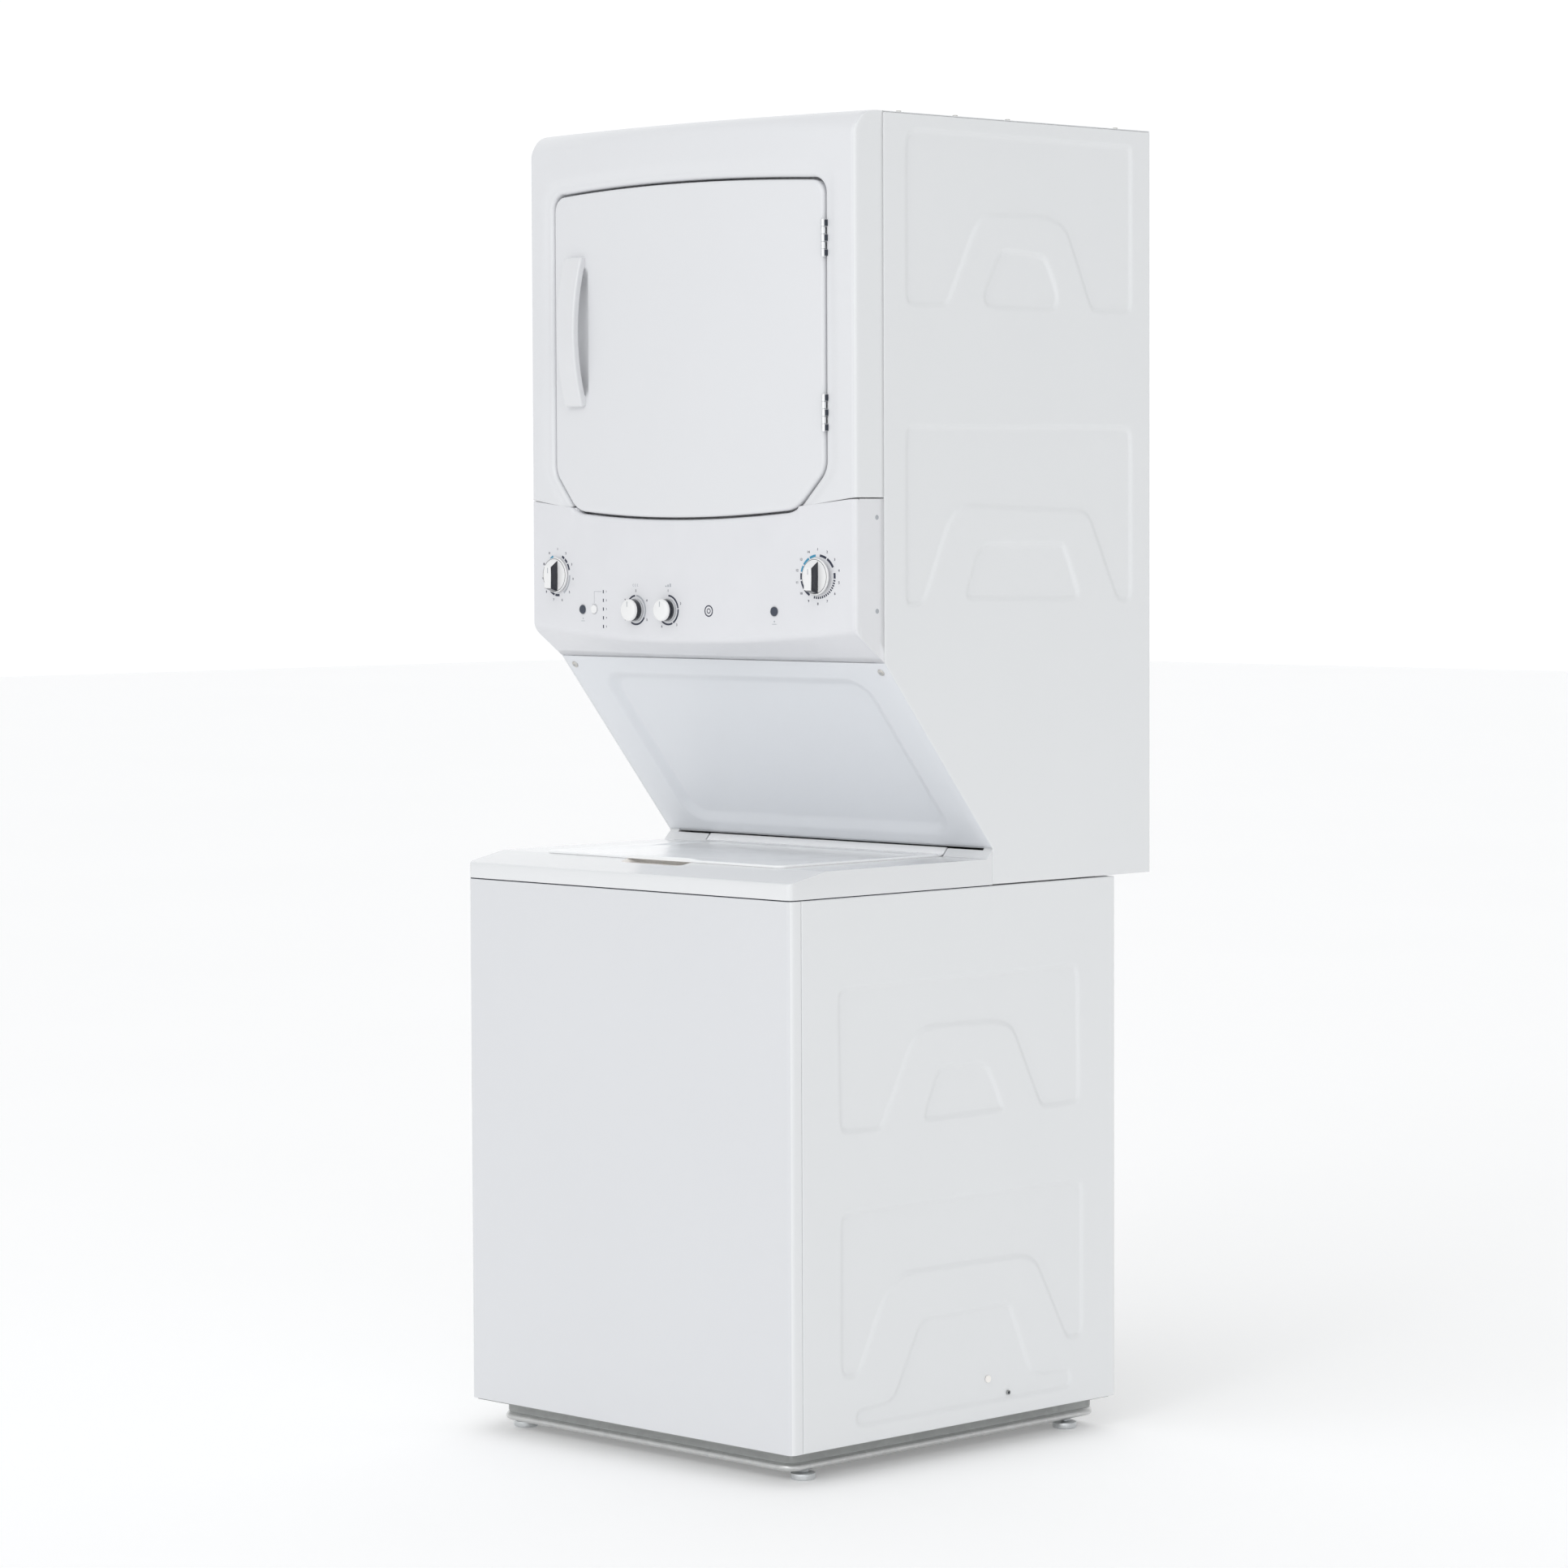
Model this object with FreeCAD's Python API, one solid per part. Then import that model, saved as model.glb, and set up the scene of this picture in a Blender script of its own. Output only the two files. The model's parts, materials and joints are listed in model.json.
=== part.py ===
import FreeCAD, Part
import math
import os
from FreeCAD import Vector as V

# Stacked washer and dryer, one free-standing laundry centre.
# Millimetres, +Z up, the door and controls face -Y, X is the width.
# Working frame: Y = 0 at the washer's front panel, Z = 0 at the floor.
# Every piece is shifted by Y_SHIFT when written, so the origin is the bottom
# centre of the overall box.

os.makedirs("parts", exist_ok=True)

# ---------------------------------------------------------------- dimensions
WIDTH = 679.5                 # cabinet width
HX = WIDTH / 2.0
T = 1.2                       # sheet thickness
Z_TOP = 1927.0                # top of the dryer
Y_REAR = 758.7                # back of the dryer body
Y_COLLAR = 786.0              # end of the exhaust collar
Y_SHIFT = -Y_COLLAR / 2.0

Z_PAN = 20.0                  # underside of the base pan
Z_CAB0, Z_CAB1 = 46.7, 823.4  # washer cabinet
Y_WASH = 678.7                # washer cabinet depth
FOOT_X, FOOT_YF, FOOT_YR = 293.6, 67.8, 618.1

Z_DECK = 862.5                # washer top deck
Y_CREST = 72.0                # where the sloped front meets the deck
LID_HX = 248.5
LID_AX_Y, LID_AX_Z = 420.0, 864.0   # lid hinge axis
LID_PIN_R = 3.0

Y_SEAM = 190.65               # front edge of the dryer side panels
Y_CORNER = 132.5              # dryer front at its corners
BULGE = 24.0                  # how far the dryer front bows forward at the middle
SL_TOP = (190.65, 1151.2)     # slanted panel, upper edge (Y, Z)
SL_BOT = (413.6, 877.5)       # slanted panel, lower edge (Y, Z)

DOOR_HX = 281.6
DOOR_TOP, DOOR_BOT = 1838.6, 1357.4
DOOR_BACK = 148.0
DOOR_GAP = 3.2
HINGE_X, HINGE_Y = 284.6, 125.6     # door hinge axis
HINGE_Z = (1749.0, 1504.0)
HINGE_PIN_R = 1.5

DRUM_Z, DRUM_R = 1603.0, 298.0
OPEN_R = 215.0                # dryer mouth

TUB_Y = 318.0                 # washer axis
BASKET_R = 262.0

MOTOR_X, MOTOR_Z = -200.0, 1256.0   # dryer motor axis
WM_X, WM_Y = 235.0, 608.0           # washer motor axis

R_DRUM_PULLEY = 12.0
R_WASH_PULLEY, R_WASH_MOTOR = 90.0, 22.0


# ---------------------------------------------------------------- helpers
def box(x0, x1, y0, y1, z0, z1):
    return Part.makeBox(x1 - x0, y1 - y0, z1 - z0, V(x0, y0, z0))


def cyl(r, h, p, d):
    return Part.makeCylinder(r, h, V(*p), V(*d))


def cone(r0, r1, h, p, d):
    return Part.makeCone(r0, r1, h, V(*p), V(*d))


def tube(ro, ri, h, p, d):
    v = V(*d)
    q = V(*p) - v * 1.0
    return cyl(ro, h, p, d).cut(Part.makeCylinder(ri, h + 2.0, q, v))


def prism_x(pts, x0, x1):
    w = Part.makePolygon([V(x0, y, z) for y, z in pts] + [V(x0, pts[0][0], pts[0][1])])
    return Part.Face(w).extrude(V(x1 - x0, 0, 0))


def prism_y(pts, y0, y1):
    w = Part.makePolygon([V(x, y0, z) for x, z in pts] + [V(pts[0][0], y0, pts[0][1])])
    return Part.Face(w).extrude(V(0, y1 - y0, 0))


def prism_z(pts, z0, z1):
    w = Part.makePolygon([V(x, y, z0) for x, y in pts] + [V(pts[0][0], pts[0][1], z0)])
    return Part.Face(w).extrude(V(0, 0, z1 - z0))


def fuse(*s):
    return s[0].multiFuse(list(s[1:])).removeSplitter()


def vertical_fillet(shape, r, test):
    es = []
    for e in shape.Edges:
        a, b = e.Vertexes[0].Point, e.Vertexes[-1].Point
        if abs(a.x - b.x) < 1e-6 and abs(a.y - b.y) < 1e-6 and test(a.x, a.y):
            es.append(e)
    return shape.makeFillet(r, es)


def mirror(s):
    return s.mirror(V(0, 0, 0), V(1, 0, 0))


def rounded_prism(hx, y0, y1, z0, z1, r):
    b = box(-hx, hx, y0, y1, z0, z1)
    return vertical_fillet(b, r, lambda x, y: True)


def loop_belt(c1, r1, c2, r2, a0, a1, make, thick):
    # flat belt round two pulleys, as the ring between two tangent outlines
    def outline(g):
        (x1, y1), (x2, y2) = c1, c2
        ra, rb = r1 + g, r2 + g
        d = math.hypot(x2 - x1, y2 - y1)
        base = math.atan2(y2 - y1, x2 - x1)
        off = math.acos((ra - rb) / d)
        pa = [(x1 + ra * math.cos(base + s * off), y1 + ra * math.sin(base + s * off)) for s in (1, -1)]
        pb = [(x2 + rb * math.cos(base + s * off), y2 + rb * math.sin(base + s * off)) for s in (1, -1)]
        ma = (x1 - ra * math.cos(base), y1 - ra * math.sin(base))
        mb = (x2 + rb * math.cos(base), y2 + rb * math.sin(base))
        P = make
        w = Part.Wire([Part.LineSegment(P(pa[0]), P(pb[0])).toShape(),
                       Part.Arc(P(pb[0]), P(mb), P(pb[1])).toShape(),
                       Part.LineSegment(P(pb[1]), P(pa[1])).toShape(),
                       Part.Arc(P(pa[1]), P(ma), P(pa[0])).toShape()])
        return Part.Face(w)
    v = make((0.0, 0.0), a1 - a0) - make((0.0, 0.0), 0.0)
    return outline(thick).extrude(v).cut(outline(0.0).extrude(v))


def yf(x):
    # front of the dryer in plan
    return Y_CORNER - BULGE * (1.0 - (x / HX) ** 2)


def yd(x):
    # front of the door in plan
    return 129.0 - 18.0 * (1.0 - (x / DOOR_HX) ** 2)


def seam(x):
    # joint line between the dryer front panel and the control fascia
    return 1373.7 + (1384.5 - 1373.7) * (abs(x) - 238.0) / (HX - 238.0)


def door_wire(g, y):
    # door outline grown by g, drawn at depth y
    hx, zt, zb = DOOR_HX + g, DOOR_TOP + g, DOOR_BOT - g
    k = g * 0.41
    tl = (-(DOOR_HX - 23) , zt - 6.6)
    p = {
        "l0": (-hx, DOOR_TOP - 27.0), "l1": (-hx, 1436.0 - k),
        "c0": (-272.5 - g * 0.72, 1414.0 - g * 0.7), "c1": (-238.0 - g * 0.7, 1376.5 - g * 0.72),
        "b0": (-205.0 - k, 1366.0 - g), "bm": (0.0, zb), "tm": (0.0, zt), "t0": tl}

    def P(n, s=1):
        return V(s * p[n][0], y, p[n][1])
    e = []
    mid_l = V(-hx + 6.7 + 0.0, y, zt - 13.3)
    e.append(Part.LineSegment(P("l1"), P("l0")).toShape())
    e.append(Part.Arc(P("l0"), mid_l, P("t0")).toShape())
    e.append(Part.Arc(P("t0"), P("tm"), P("t0", -1)).toShape())
    e.append(Part.Arc(P("t0", -1), V(hx - 6.7, y, zt - 13.3), P("l0", -1)).toShape())
    e.append(Part.LineSegment(P("l0", -1), P("l1", -1)).toShape())
    e.append(Part.Arc(P("l1", -1), V(278.9 + g * 0.9, y, 1424.3 - g * 0.5), P("c0", -1)).toShape())
    e.append(Part.LineSegment(P("c0", -1), P("c1", -1)).toShape())
    e.append(Part.Arc(P("c1", -1), V(222.5 + g * 0.5, y, 1368.6 - g * 0.92), P("b0", -1)).toShape())
    e.append(Part.Arc(P("b0", -1), P("bm"), P("b0")).toShape())
    e.append(Part.Arc(P("b0"), V(-222.5 - g * 0.5, y, 1368.6 - g * 0.92), P("c1")).toShape())
    e.append(Part.LineSegment(P("c1"), P("c0")).toShape())
    e.append(Part.Arc(P("c0"), V(-278.9 - g * 0.9, y, 1424.3 - g * 0.5), P("l1")).toShape())
    return Part.Wire(e)


def door_prism(g, y0, y1):
    return Part.Face(door_wire(g, y0)).extrude(V(0, y1 - y0, 0))


def front_solid(fn, hx, yback, z0, z1, inset=0.0):
    # vertical prism whose front follows fn(x)
    a = V(-hx, fn(-hx) + inset, z0)
    m = V(0, fn(0) + inset, z0)
    b = V(hx, fn(hx) + inset, z0)
    w = Part.Wire([Part.Arc(a, m, b).toShape(),
                   Part.LineSegment(b, V(hx, yback, z0)).toShape(),
                   Part.LineSegment(V(hx, yback, z0), V(-hx, yback, z0)).toShape(),
                   Part.LineSegment(V(-hx, yback, z0), a).toShape()])
    return Part.Face(w).extrude(V(0, 0, z1 - z0))


def loft_x(fn_pts, xs):
    ws = []
    for x in xs:
        pts = fn_pts(x)
        ws.append(Part.makePolygon([V(x, y, z) for y, z in pts] + [V(x, pts[0][0], pts[0][1])]))
    return Part.makeLoft(ws, True, False)


OUT = {}


def put(name, shape):
    s = shape.copy()
    s.translate(V(0, Y_SHIFT, 0))
    OUT[name] = s


# ---------------------------------------------------------------- screws
# (head centre, direction the shank goes, head radius)
SCREWS = []
for yy in (234.1, 350.1, 460.2, 694.2):
    for sx in (1, -1):
        SCREWS.append(((sx * 328.0, yy, Z_TOP), (0, 0, -1), "top"))
for sx in (1, -1):
    SCREWS.append(((sx * 233.0, 184.0, Z_TOP), (0, 0, -1), "front"))
SLD = ((SL_BOT[0] - SL_TOP[0]), (SL_BOT[1] - SL_TOP[1]))
SLL = math.hypot(*SLD)
SLD = (SLD[0] / SLL, SLD[1] / SLL)          # down-and-back along the slant
SLN = (-SLD[1], SLD[0])                     # inward normal of the slant
for sx in (1, -1):
    SCREWS.append(((sx * 321.6, SL_TOP[0] + SLD[0] * 18.0, SL_TOP[1] + SLD[1] * 18.0),
                   (0, SLN[0], SLN[1]), "slant"))
for zz in (1880.0, 1600.0, 1320.0, 1040.0, 860.0):
    for sx in (1, -1):
        SCREWS.append(((sx * 328.0, Y_REAR, zz), (0, -1, 0), "back"))
for zz in (780.0, 430.0, 90.0):
    for sx in (1, -1):
        SCREWS.append(((sx * 328.0, Y_WASH, zz), (0, -1, 0), "wback"))


def screw(p, d, hole=False):
    p = V(*p)
    d = V(*d)
    if hole:
        return Part.makeCylinder(2.15, 14.0, p - d * 3.0, d)
    head = Part.makeCylinder(4.6, 1.0, p, d * -1.0)
    hexa = Part.makeCone(3.6, 3.1, 1.7, p - d * 0.8, d * -1.0)
    shank = Part.makeCylinder(2.0, 8.0, p, d)
    return head.fuse(hexa).fuse(shank).removeSplitter()


def drill(shape, kinds):
    for p, d, k in SCREWS:
        if k in kinds:
            shape = shape.cut(screw(p, d, True))
    return shape


# ================================================================ WASHER
# base pan: drawn tray with a flange that the cabinet stands on
pan_o = box(-306, 306, 31, 676, Z_PAN, 46.4)
pan_o = vertical_fillet(pan_o, 24.0, lambda x, y: True)
pan_o = pan_o.makeFillet(11.0, [e for e in pan_o.Edges if e.BoundBox.ZMax < Z_PAN + 0.01])
pan_i = box(-304, 304, 33, 674, Z_PAN + 2.0, 60.0)
pan_i = vertical_fillet(pan_i, 22.0, lambda x, y: True)
pan_i = pan_i.makeFillet(9.0, [e for e in pan_i.Edges if e.BoundBox.ZMax < Z_PAN + 2.01])
flange = box(-336, 336, 3, 676, 45.0, 46.4)
bosses = [cyl(12.0, 14.0, (sx * FOOT_X, fy, Z_PAN + 1.0), (0, 0, 1)) for sx in (1, -1) for fy in (FOOT_YF, FOOT_YR)]
bosses = [b.common(pan_o) for b in bosses]
ribs = [box(-200, 200, yy, yy + 2.0, Z_PAN + 1.5, 30.0) for yy in (250.0, 450.0)]
pan = fuse(pan_o.cut(pan_i), flange.cut(pan_i), *(bosses + ribs))
for sx in (1, -1):
    for fy in (FOOT_YF, FOOT_YR):
        pan = pan.cut(cyl(4.82, 40.0, (sx * FOOT_X, fy, 10.0), (0, 0, 1)))
put("washer_base_pan", pan)


def foot(x, y):
    prof = [(0, 0), (16.6, 0), (18.0, 1.6), (18.0, 7.5), (16.4, 9.6), (9.0, 11.6), (8.2, 13.6), (0, 13.6)]
    w = Part.makePolygon([V(r, 0, z) for r, z in prof] + [V(prof[0][0], 0, prof[0][1])])
    pad = Part.Face(w).revolve(V(0, 0, 0), V(0, 0, 1), 360)
    hexa = prism_z([(9.0 * math.cos(math.radians(a)), 9.0 * math.sin(math.radians(a))) for a in range(0, 360, 60)], 13.0, 18.6)
    stem = cyl(4.76, 36.0, (0, 0, 12.0), (0, 0, 1))
    s = fuse(pad, hexa, stem)
    s.translate(V(x, y, 0))
    return s


put("levelling_foot_front_left", foot(-FOOT_X, FOOT_YF))
put("levelling_foot_front_right", foot(FOOT_X, FOOT_YF))
put("levelling_foot_rear_left", foot(-FOOT_X, FOOT_YR))
put("levelling_foot_rear_right", foot(FOOT_X, FOOT_YR))

# front panel wraps round both front corners
fo = box(-HX, HX, 0, 22.0, Z_CAB0, Z_CAB1)
fo = vertical_fillet(fo, 9.0, lambda x, y: y < 1)
fi = box(-HX + T, HX - T, T, 24.0, Z_CAB0 + T, Z_CAB1 - T)
fi = vertical_fillet(fi, 7.8, lambda x, y: y < 2)
put("washer_front_panel", fo.cut(fi))

# side panels: folded sheet with flanges all round
sp = box(HX - 20.0, HX, 22.9, Y_WASH, Z_CAB0, Z_CAB1).cut(
    box(HX - 22.0, HX - T, 22.9 + T, Y_WASH - T, Z_CAB0 + T, Z_CAB1 - T))
for yy in (206.0, 430.0):
    sp = fuse(sp, box(288.0, HX - 0.6, yy - 14.0, yy + 14.0, 771.0, 773.0), box(326.0, HX - 0.6, yy - 1.0, yy + 1.0, 745.0, 772.0))
    sp = sp.cut(cyl(4.6, 10.0, (300.0, yy, 768.0), (0, 0, 1)))
sp = drill(sp, ("wback",))
sp_r = sp.cut(cyl(3.4, 10.0, (HX - 5.0, 446.6, 80.3), (1, 0, 0)))
put("washer_side_panel_right", sp_r)
put("washer_side_panel_left", mirror(sp_r))

rp = box(-338.0, 338.0, Y_WASH - T - 1.3, Y_WASH - T - 0.1, Z_CAB0 + 2.0, Z_CAB1 - 2.0)
rp = drill(rp, ("wback",))
rp = rp.cut(cyl(14.5, 10.0, (-170.0, Y_WASH - 8.0, 66.0), (0, 1, 0)))
put("washer_rear_panel", rp)

# ---- top cover
SP = [(0, 825.0), (0, 848.0), (Y_CREST, Z_DECK), (402.0, Z_DECK), (412.8, 874.2), (412.8, 825.0)]
IP = [(2.5, 820.0), (2.5, 846.0), (Y_CREST + 0.4, 860.0), (403.1, 860.0), (410.3, 868.2), (410.3, 820.0)]
tc_o = prism_x(SP, -HX, HX)
tc_o = vertical_fillet(tc_o, 9.0, lambda x, y: y < 1)
tc = tc_o.cut(prism_x(IP, -HX + 2.5, HX - 2.5))
# hinge trough behind the lid opening
tc = tc.cut(box(-251.5, 251.5, 396.0, 420.0, 847.0, 890.0))
tc = fuse(tc,
          box(-254.0, 254.0, 393.5, 432.0, 844.5, 847.0),
          box(-254.0, 254.0, 393.5, 396.0, 844.5, 861.0),
          prism_x([(393.5, 844.5), (393.5, 861.5), (402.0, 861.5), (411.5, 872.6), (430.0, 872.6), (430.0, 844.5)], 251.5, 257.0),
          prism_x([(393.5, 844.5), (393.5, 861.5), (402.0, 861.5), (411.5, 872.6), (430.0, 872.6), (430.0, 844.5)], -257.0, -251.5))
# opening with a turned-down collar
op_o = rounded_prism(214.5, 93.5, 386.5, 838.0, 861.5, 62.5)
op_i = rounded_prism(212.0, 96.0, 384.0, 800.0, 900.0, 60.0)
tc = fuse(tc, op_o).cut(op_i)
# finger scoop under the lid's front edge
sc_o = prism_x([(41.0, 855.9), (50.0, 849.2), (93.5, 849.2), (93.5, 862.0), (73.0, 862.0)], -73.0, 73.0)
sc_i = prism_x([(44.0, 875.0), (44.0, 857.2), (52.0, 851.7), (91.0, 851.7), (91.0, 875.0)], -70.5, 70.5)
tc = fuse(tc, sc_o).cut(sc_i)
tc = fuse(tc, *[cyl(LID_PIN_R, 14.5, (sx * 242.5, LID_AX_Y, LID_AX_Z), (sx, 0, 0)) for sx in (1, -1)])
put("washer_top_cover", tc)

# ---- lid: flat plate with the hinge ramp at the back and two lugs
LP = [(71.0, 863.0), (71.0, 866.0), (405.2, 866.0), (414.6, 876.2), (416.44, 874.5), (405.84, 863.0)]
lid = prism_x(LP, -LID_HX, LID_HX)
lid = vertical_fillet(lid, 16.0, lambda x, y: y < 80)
lug_p = [(399.0, 863.5), (405.84, 863.5), (415.9, 874.3), (421.0, 870.4), (424.0, 860.0), (418.0, 857.6), (408.0, 860.0)]
lugs = []
for sx in (1, -1):
    x0, x1 = (243.0, 248.5) if sx > 0 else (-248.5, -243.0)
    lugs.append(prism_x(lug_p, x0, x1))
    lugs.append(cyl(6.5, 5.5, (x0, LID_AX_Y, LID_AX_Z), (1, 0, 0)))
grip = prism_x([(71.0, 865.5), (71.0, 868.4), (84.0, 868.4), (100.0, 866.0), (100.0, 865.5)], -78.0, 78.0)
lid = fuse(lid, grip, *lugs)
for sx in (1, -1):
    lid = lid.cut(cyl(LID_PIN_R + 0.06, 12.0, (sx * 240.0, LID_AX_Y, LID_AX_Z), (sx, 0, 0)))
put("washer_lid", lid)

# ---- outer tub with its top ring and suspension lugs
tub = cyl(284.0, 545.0, (0, TUB_Y, 190.0), (0, 0, 1)).cut(cyl(280.0, 545.0, (0, TUB_Y, 196.0), (0, 0, 1)))
ring = tube(284.0, 226.0, 4.0, (0, TUB_Y, 735.0), (0, 0, 1))
ROD = [(sx * 300.0, yy) for sx in (1, -1) for yy in (206.0, 430.0)]
arms = []
for rx, ry in ROD:
    dx, dy = rx, ry - TUB_Y
    L = math.hypot(dx, dy)
    ux, uy = dx / L, dy / L
    a = box(276.0, L + 12.0, -12.0, 12.0, 226.0, 234.0)
    a.rotate(V(0, 0, 0), V(0, 0, 1), math.degrees(math.atan2(uy, ux)))
    a.translate(V(0, TUB_Y, 0))
    arms.append(a.cut(cyl(280.5, 20, (0, TUB_Y, 220.0), (0, 0, 1))))
tub = fuse(tub, ring, *arms).cut(cyl(24.0, 20.0, (0, TUB_Y, 185.0), (0, 0, 1)))
for rx, ry in ROD:
    tub = tub.cut(cyl(4.6, 30.0, (rx, ry, 215.0), (0, 0, 1)))
put("outer_tub", tub)

rods = []
for rx, ry in ROD:
    r = fuse(cyl(4.0, 575.0, (rx, ry, 205.0), (0, 0, 1)),
             Part.makeSphere(8.0, V(rx, ry, 781.2)),
             cyl(11.0, 4.0, (rx, ry, 205.0), (0, 0, 1)),
             cyl(9.0, 16.6, (rx, ry, 209.0), (0, 0, 1)))
    rods.append(r)
put("suspension_rods", Part.makeCompound(rods))

# ---- wash basket with balance ring and spin tube
prof_o = [(0, 205), (246, 205), (BASKET_R, 222), (BASKET_R, 712), (232, 712), (232, 668), (BASKET_R - 2, 656),
          (BASKET_R - 2, 223), (245.2, 207.5), (0, 207.5)]
w = Part.makePolygon([V(r, 0, z) for r, z in prof_o] + [V(0, 0, 205)])
basket = Part.Face(w).revolve(V(0, 0, 0), V(0, 0, 1), 360)
basket.translate(V(0, TUB_Y, 0))
basket = fuse(basket, cyl(22.0, 71.0, (0, TUB_Y, 135.0), (0, 0, 1)), cyl(46.0, 3.0, (0, TUB_Y, 206.0), (0, 0, 1)))
basket = basket.cut(cyl(13.0, 120.0, (0, TUB_Y, 120.0), (0, 0, 1)))
put("wash_basket", basket)

# ---- agitator with its shaft
prof_a = [(0, 212), (178, 212), (182, 216), (178, 222), (96, 232), (58, 262), (44, 330), (36, 520), (34, 612), (30, 622), (0, 626)]
w = Part.makePolygon([V(r, 0, z) for r, z in prof_a] + [V(0, 0, 212)])
ag = Part.Face(w).revolve(V(0, 0, 0), V(0, 0, 1), 360)
fins = []
for k in range(4):
    f = prism_x([(30.0, 222.0), (150.0, 222.0), (138.0, 300.0), (104.0, 420.0), (64.0, 500.0), (32.0, 520.0)], -4.0, 4.0)
    f.rotate(V(0, 0, 0), V(0, 0, 1), 45.0 + 90.0 * k)
    fins.append(f)
ag = fuse(ag, cyl(12.95, 116.0, (0, 0, 98.0), (0, 0, 1)), *fins)
ag.translate(V(0, TUB_Y, 0))
put("agitator", ag)

gc = fuse(tube(70.0, 22.06, 44.0, (0, TUB_Y, 140.0), (0, 0, 1)),
          tube(120.0, 30.0, 5.0, (0, TUB_Y, 184.5), (0, 0, 1)),
          tube(56.0, 22.06, 12.0, (0, TUB_Y, 177.0), (0, 0, 1)))
put("washer_gearcase", gc)

wp = fuse(tube(R_WASH_PULLEY, 78.0, 16.0, (0, TUB_Y, 104.0), (0, 0, 1)),
          tube(24.0, 13.0, 22.0, (0, TUB_Y, 101.0), (0, 0, 1)),
          tube(79.0, 23.0, 4.0, (0, TUB_Y, 110.0), (0, 0, 1)))
put("washer_drive_pulley", wp)

wm = fuse(cyl(60.0, 130.0, (WM_X, WM_Y, 132.0), (0, 0, 1)), cyl(52.0, 10.0, (WM_X, WM_Y, 124.5), (0, 0, 1)),
          box(WM_X - 64.0, WM_X + 40.0, WM_Y - 30.0, WM_Y + 30.0, 262.0, 270.0))
wm = wm.cut(cyl(8.06, 60.0, (WM_X, WM_Y, 110.0), (0, 0, 1)))
put("washer_motor", wm)
wmp = fuse(cyl(R_WASH_MOTOR, 16.0, (WM_X, WM_Y, 104.0), (0, 0, 1)), cyl(26.0, 2.0, (WM_X, WM_Y, 102.0), (0, 0, 1)),
           cyl(8.0, 50.0, (WM_X, WM_Y, 110.0), (0, 0, 1)))
put("washer_motor_pulley", wmp)
wb = loop_belt((0.0, TUB_Y), R_WASH_PULLEY + 0.4, (WM_X, WM_Y), R_WASH_MOTOR + 0.4, 106.0, 118.0,
               lambda p, h=0.0: V(p[0], p[1], 106.0 + h), 3.0)
put("washer_belt", wb)

# ---- drain pump on the pan, its outlet pipe led out of the back
PUMP_X = -170.0
dp = fuse(cyl(40.0, 62.0, (PUMP_X, 150.0, Z_PAN + 2.3), (0, 0, 1)),
          cyl(26.0, 30.0, (PUMP_X, 150.0, 84.0), (0, 0, 1)),
          cyl(11.9, 500.5, (PUMP_X, 180.0, 66.0), (0, 1, 0)),
          cyl(12.5, 32.0, (PUMP_X, 680.0, 66.0), (0, 1, 0)))
dp = dp.cut(cyl(10.0, 540.0, (PUMP_X, 200.0, 66.0), (0, 1, 0)))
put("drain_pump", dp)

# ================================================================ UPPER BODY
U1 = [(Y_SEAM, SL_TOP[1]), (Y_SEAM, 1925.6), (Y_REAR, 1925.6), (Y_REAR, 825.4), (SL_BOT[0], 825.4), SL_BOT]
o = 1.5
U2 = [(Y_SEAM, SL_TOP[1] + o / SLN[1]), (Y_SEAM, 1925.6), (Y_REAR, 1925.6), (Y_REAR, 825.4), (SL_BOT[0], 825.4),
      (SL_BOT[0], SL_BOT[1] + o / SLN[1])]
o = 1.5 + T
U3 = [(Y_SEAM + T, SL_TOP[1] + o / SLN[1] - T * 1.2276), (Y_SEAM + T, 1925.6 - T), (Y_REAR - T, 1925.6 - T),
      (Y_REAR - T, 825.4 + T), (SL_BOT[0] + T, 825.4 + T), (SL_BOT[0] + T, SL_BOT[1] + o / SLN[1] - T * 1.2276)]
side = fuse(prism_x(U1, HX - T, HX), prism_x(U2, HX - 20.0, HX - T).cut(prism_x(U3, HX - 22.0, HX - T)))
side = drill(side, ("top", "slant", "back"))
# keep the flange clear of the washer's top cover
put("dryer_side_panel_right", side)
put("dryer_side_panel_left", mirror(side))

top = fuse(box(-339.3, 339.3, 191.4, 758.2, 1925.8, Z_TOP),
           box(-316.0, 316.0, 300.0, 301.2, 1908.0, 1925.9),
           box(-316.0, 316.0, 620.0, 621.2, 1908.0, 1925.9))
top = drill(top, ("top",))
put("dryer_top_cover", top)

EXH_X, EXH_Z = -50.0, 1222.0
back = box(-338.0, 338.0, Y_REAR - T - 1.3, Y_REAR - T - 0.1, 828.0, 1923.0)
back = drill(back, ("back",))
back = back.cut(cyl(50.4, 20.0, (EXH_X, 745.0, EXH_Z), (0, 1, 0)))
back = back.cut(box(160.0, 290.0, 745.0, 765.0, 1010.0, 1070.0))
back = back.cut(cyl(14.0, 20.0, (230.0, 745.0, 1180.0), (0, 1, 0)))
bearing = fuse(tube(34.0, 10.06, 36.0, (0, 720.0, DRUM_Z), (0, 1, 0)),
               tube(60.0, 10.06, 4.0, (0, 752.2, DRUM_Z), (0, 1, 0)))
put("dryer_rear_panel", fuse(back, bearing.cut(box(-400, 400, 757.3, 770, 1000, 1900))))

shelf = fuse(box(-336.0, 336.0, 600.0, 755.0, 826.8, 828.0), box(-316.0, 316.0, 600.0, 601.2, 826.8, 842.0))
put("rear_support_shelf", shelf)

# dryer floor: carries the motor, blower and heater
fl = fuse(box(-318.0, 318.0, 207.0, 755.0, 1154.8, 1156.0), box(-318.0, 318.0, 753.8, 755.0, 1130.0, 1156.0))

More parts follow.
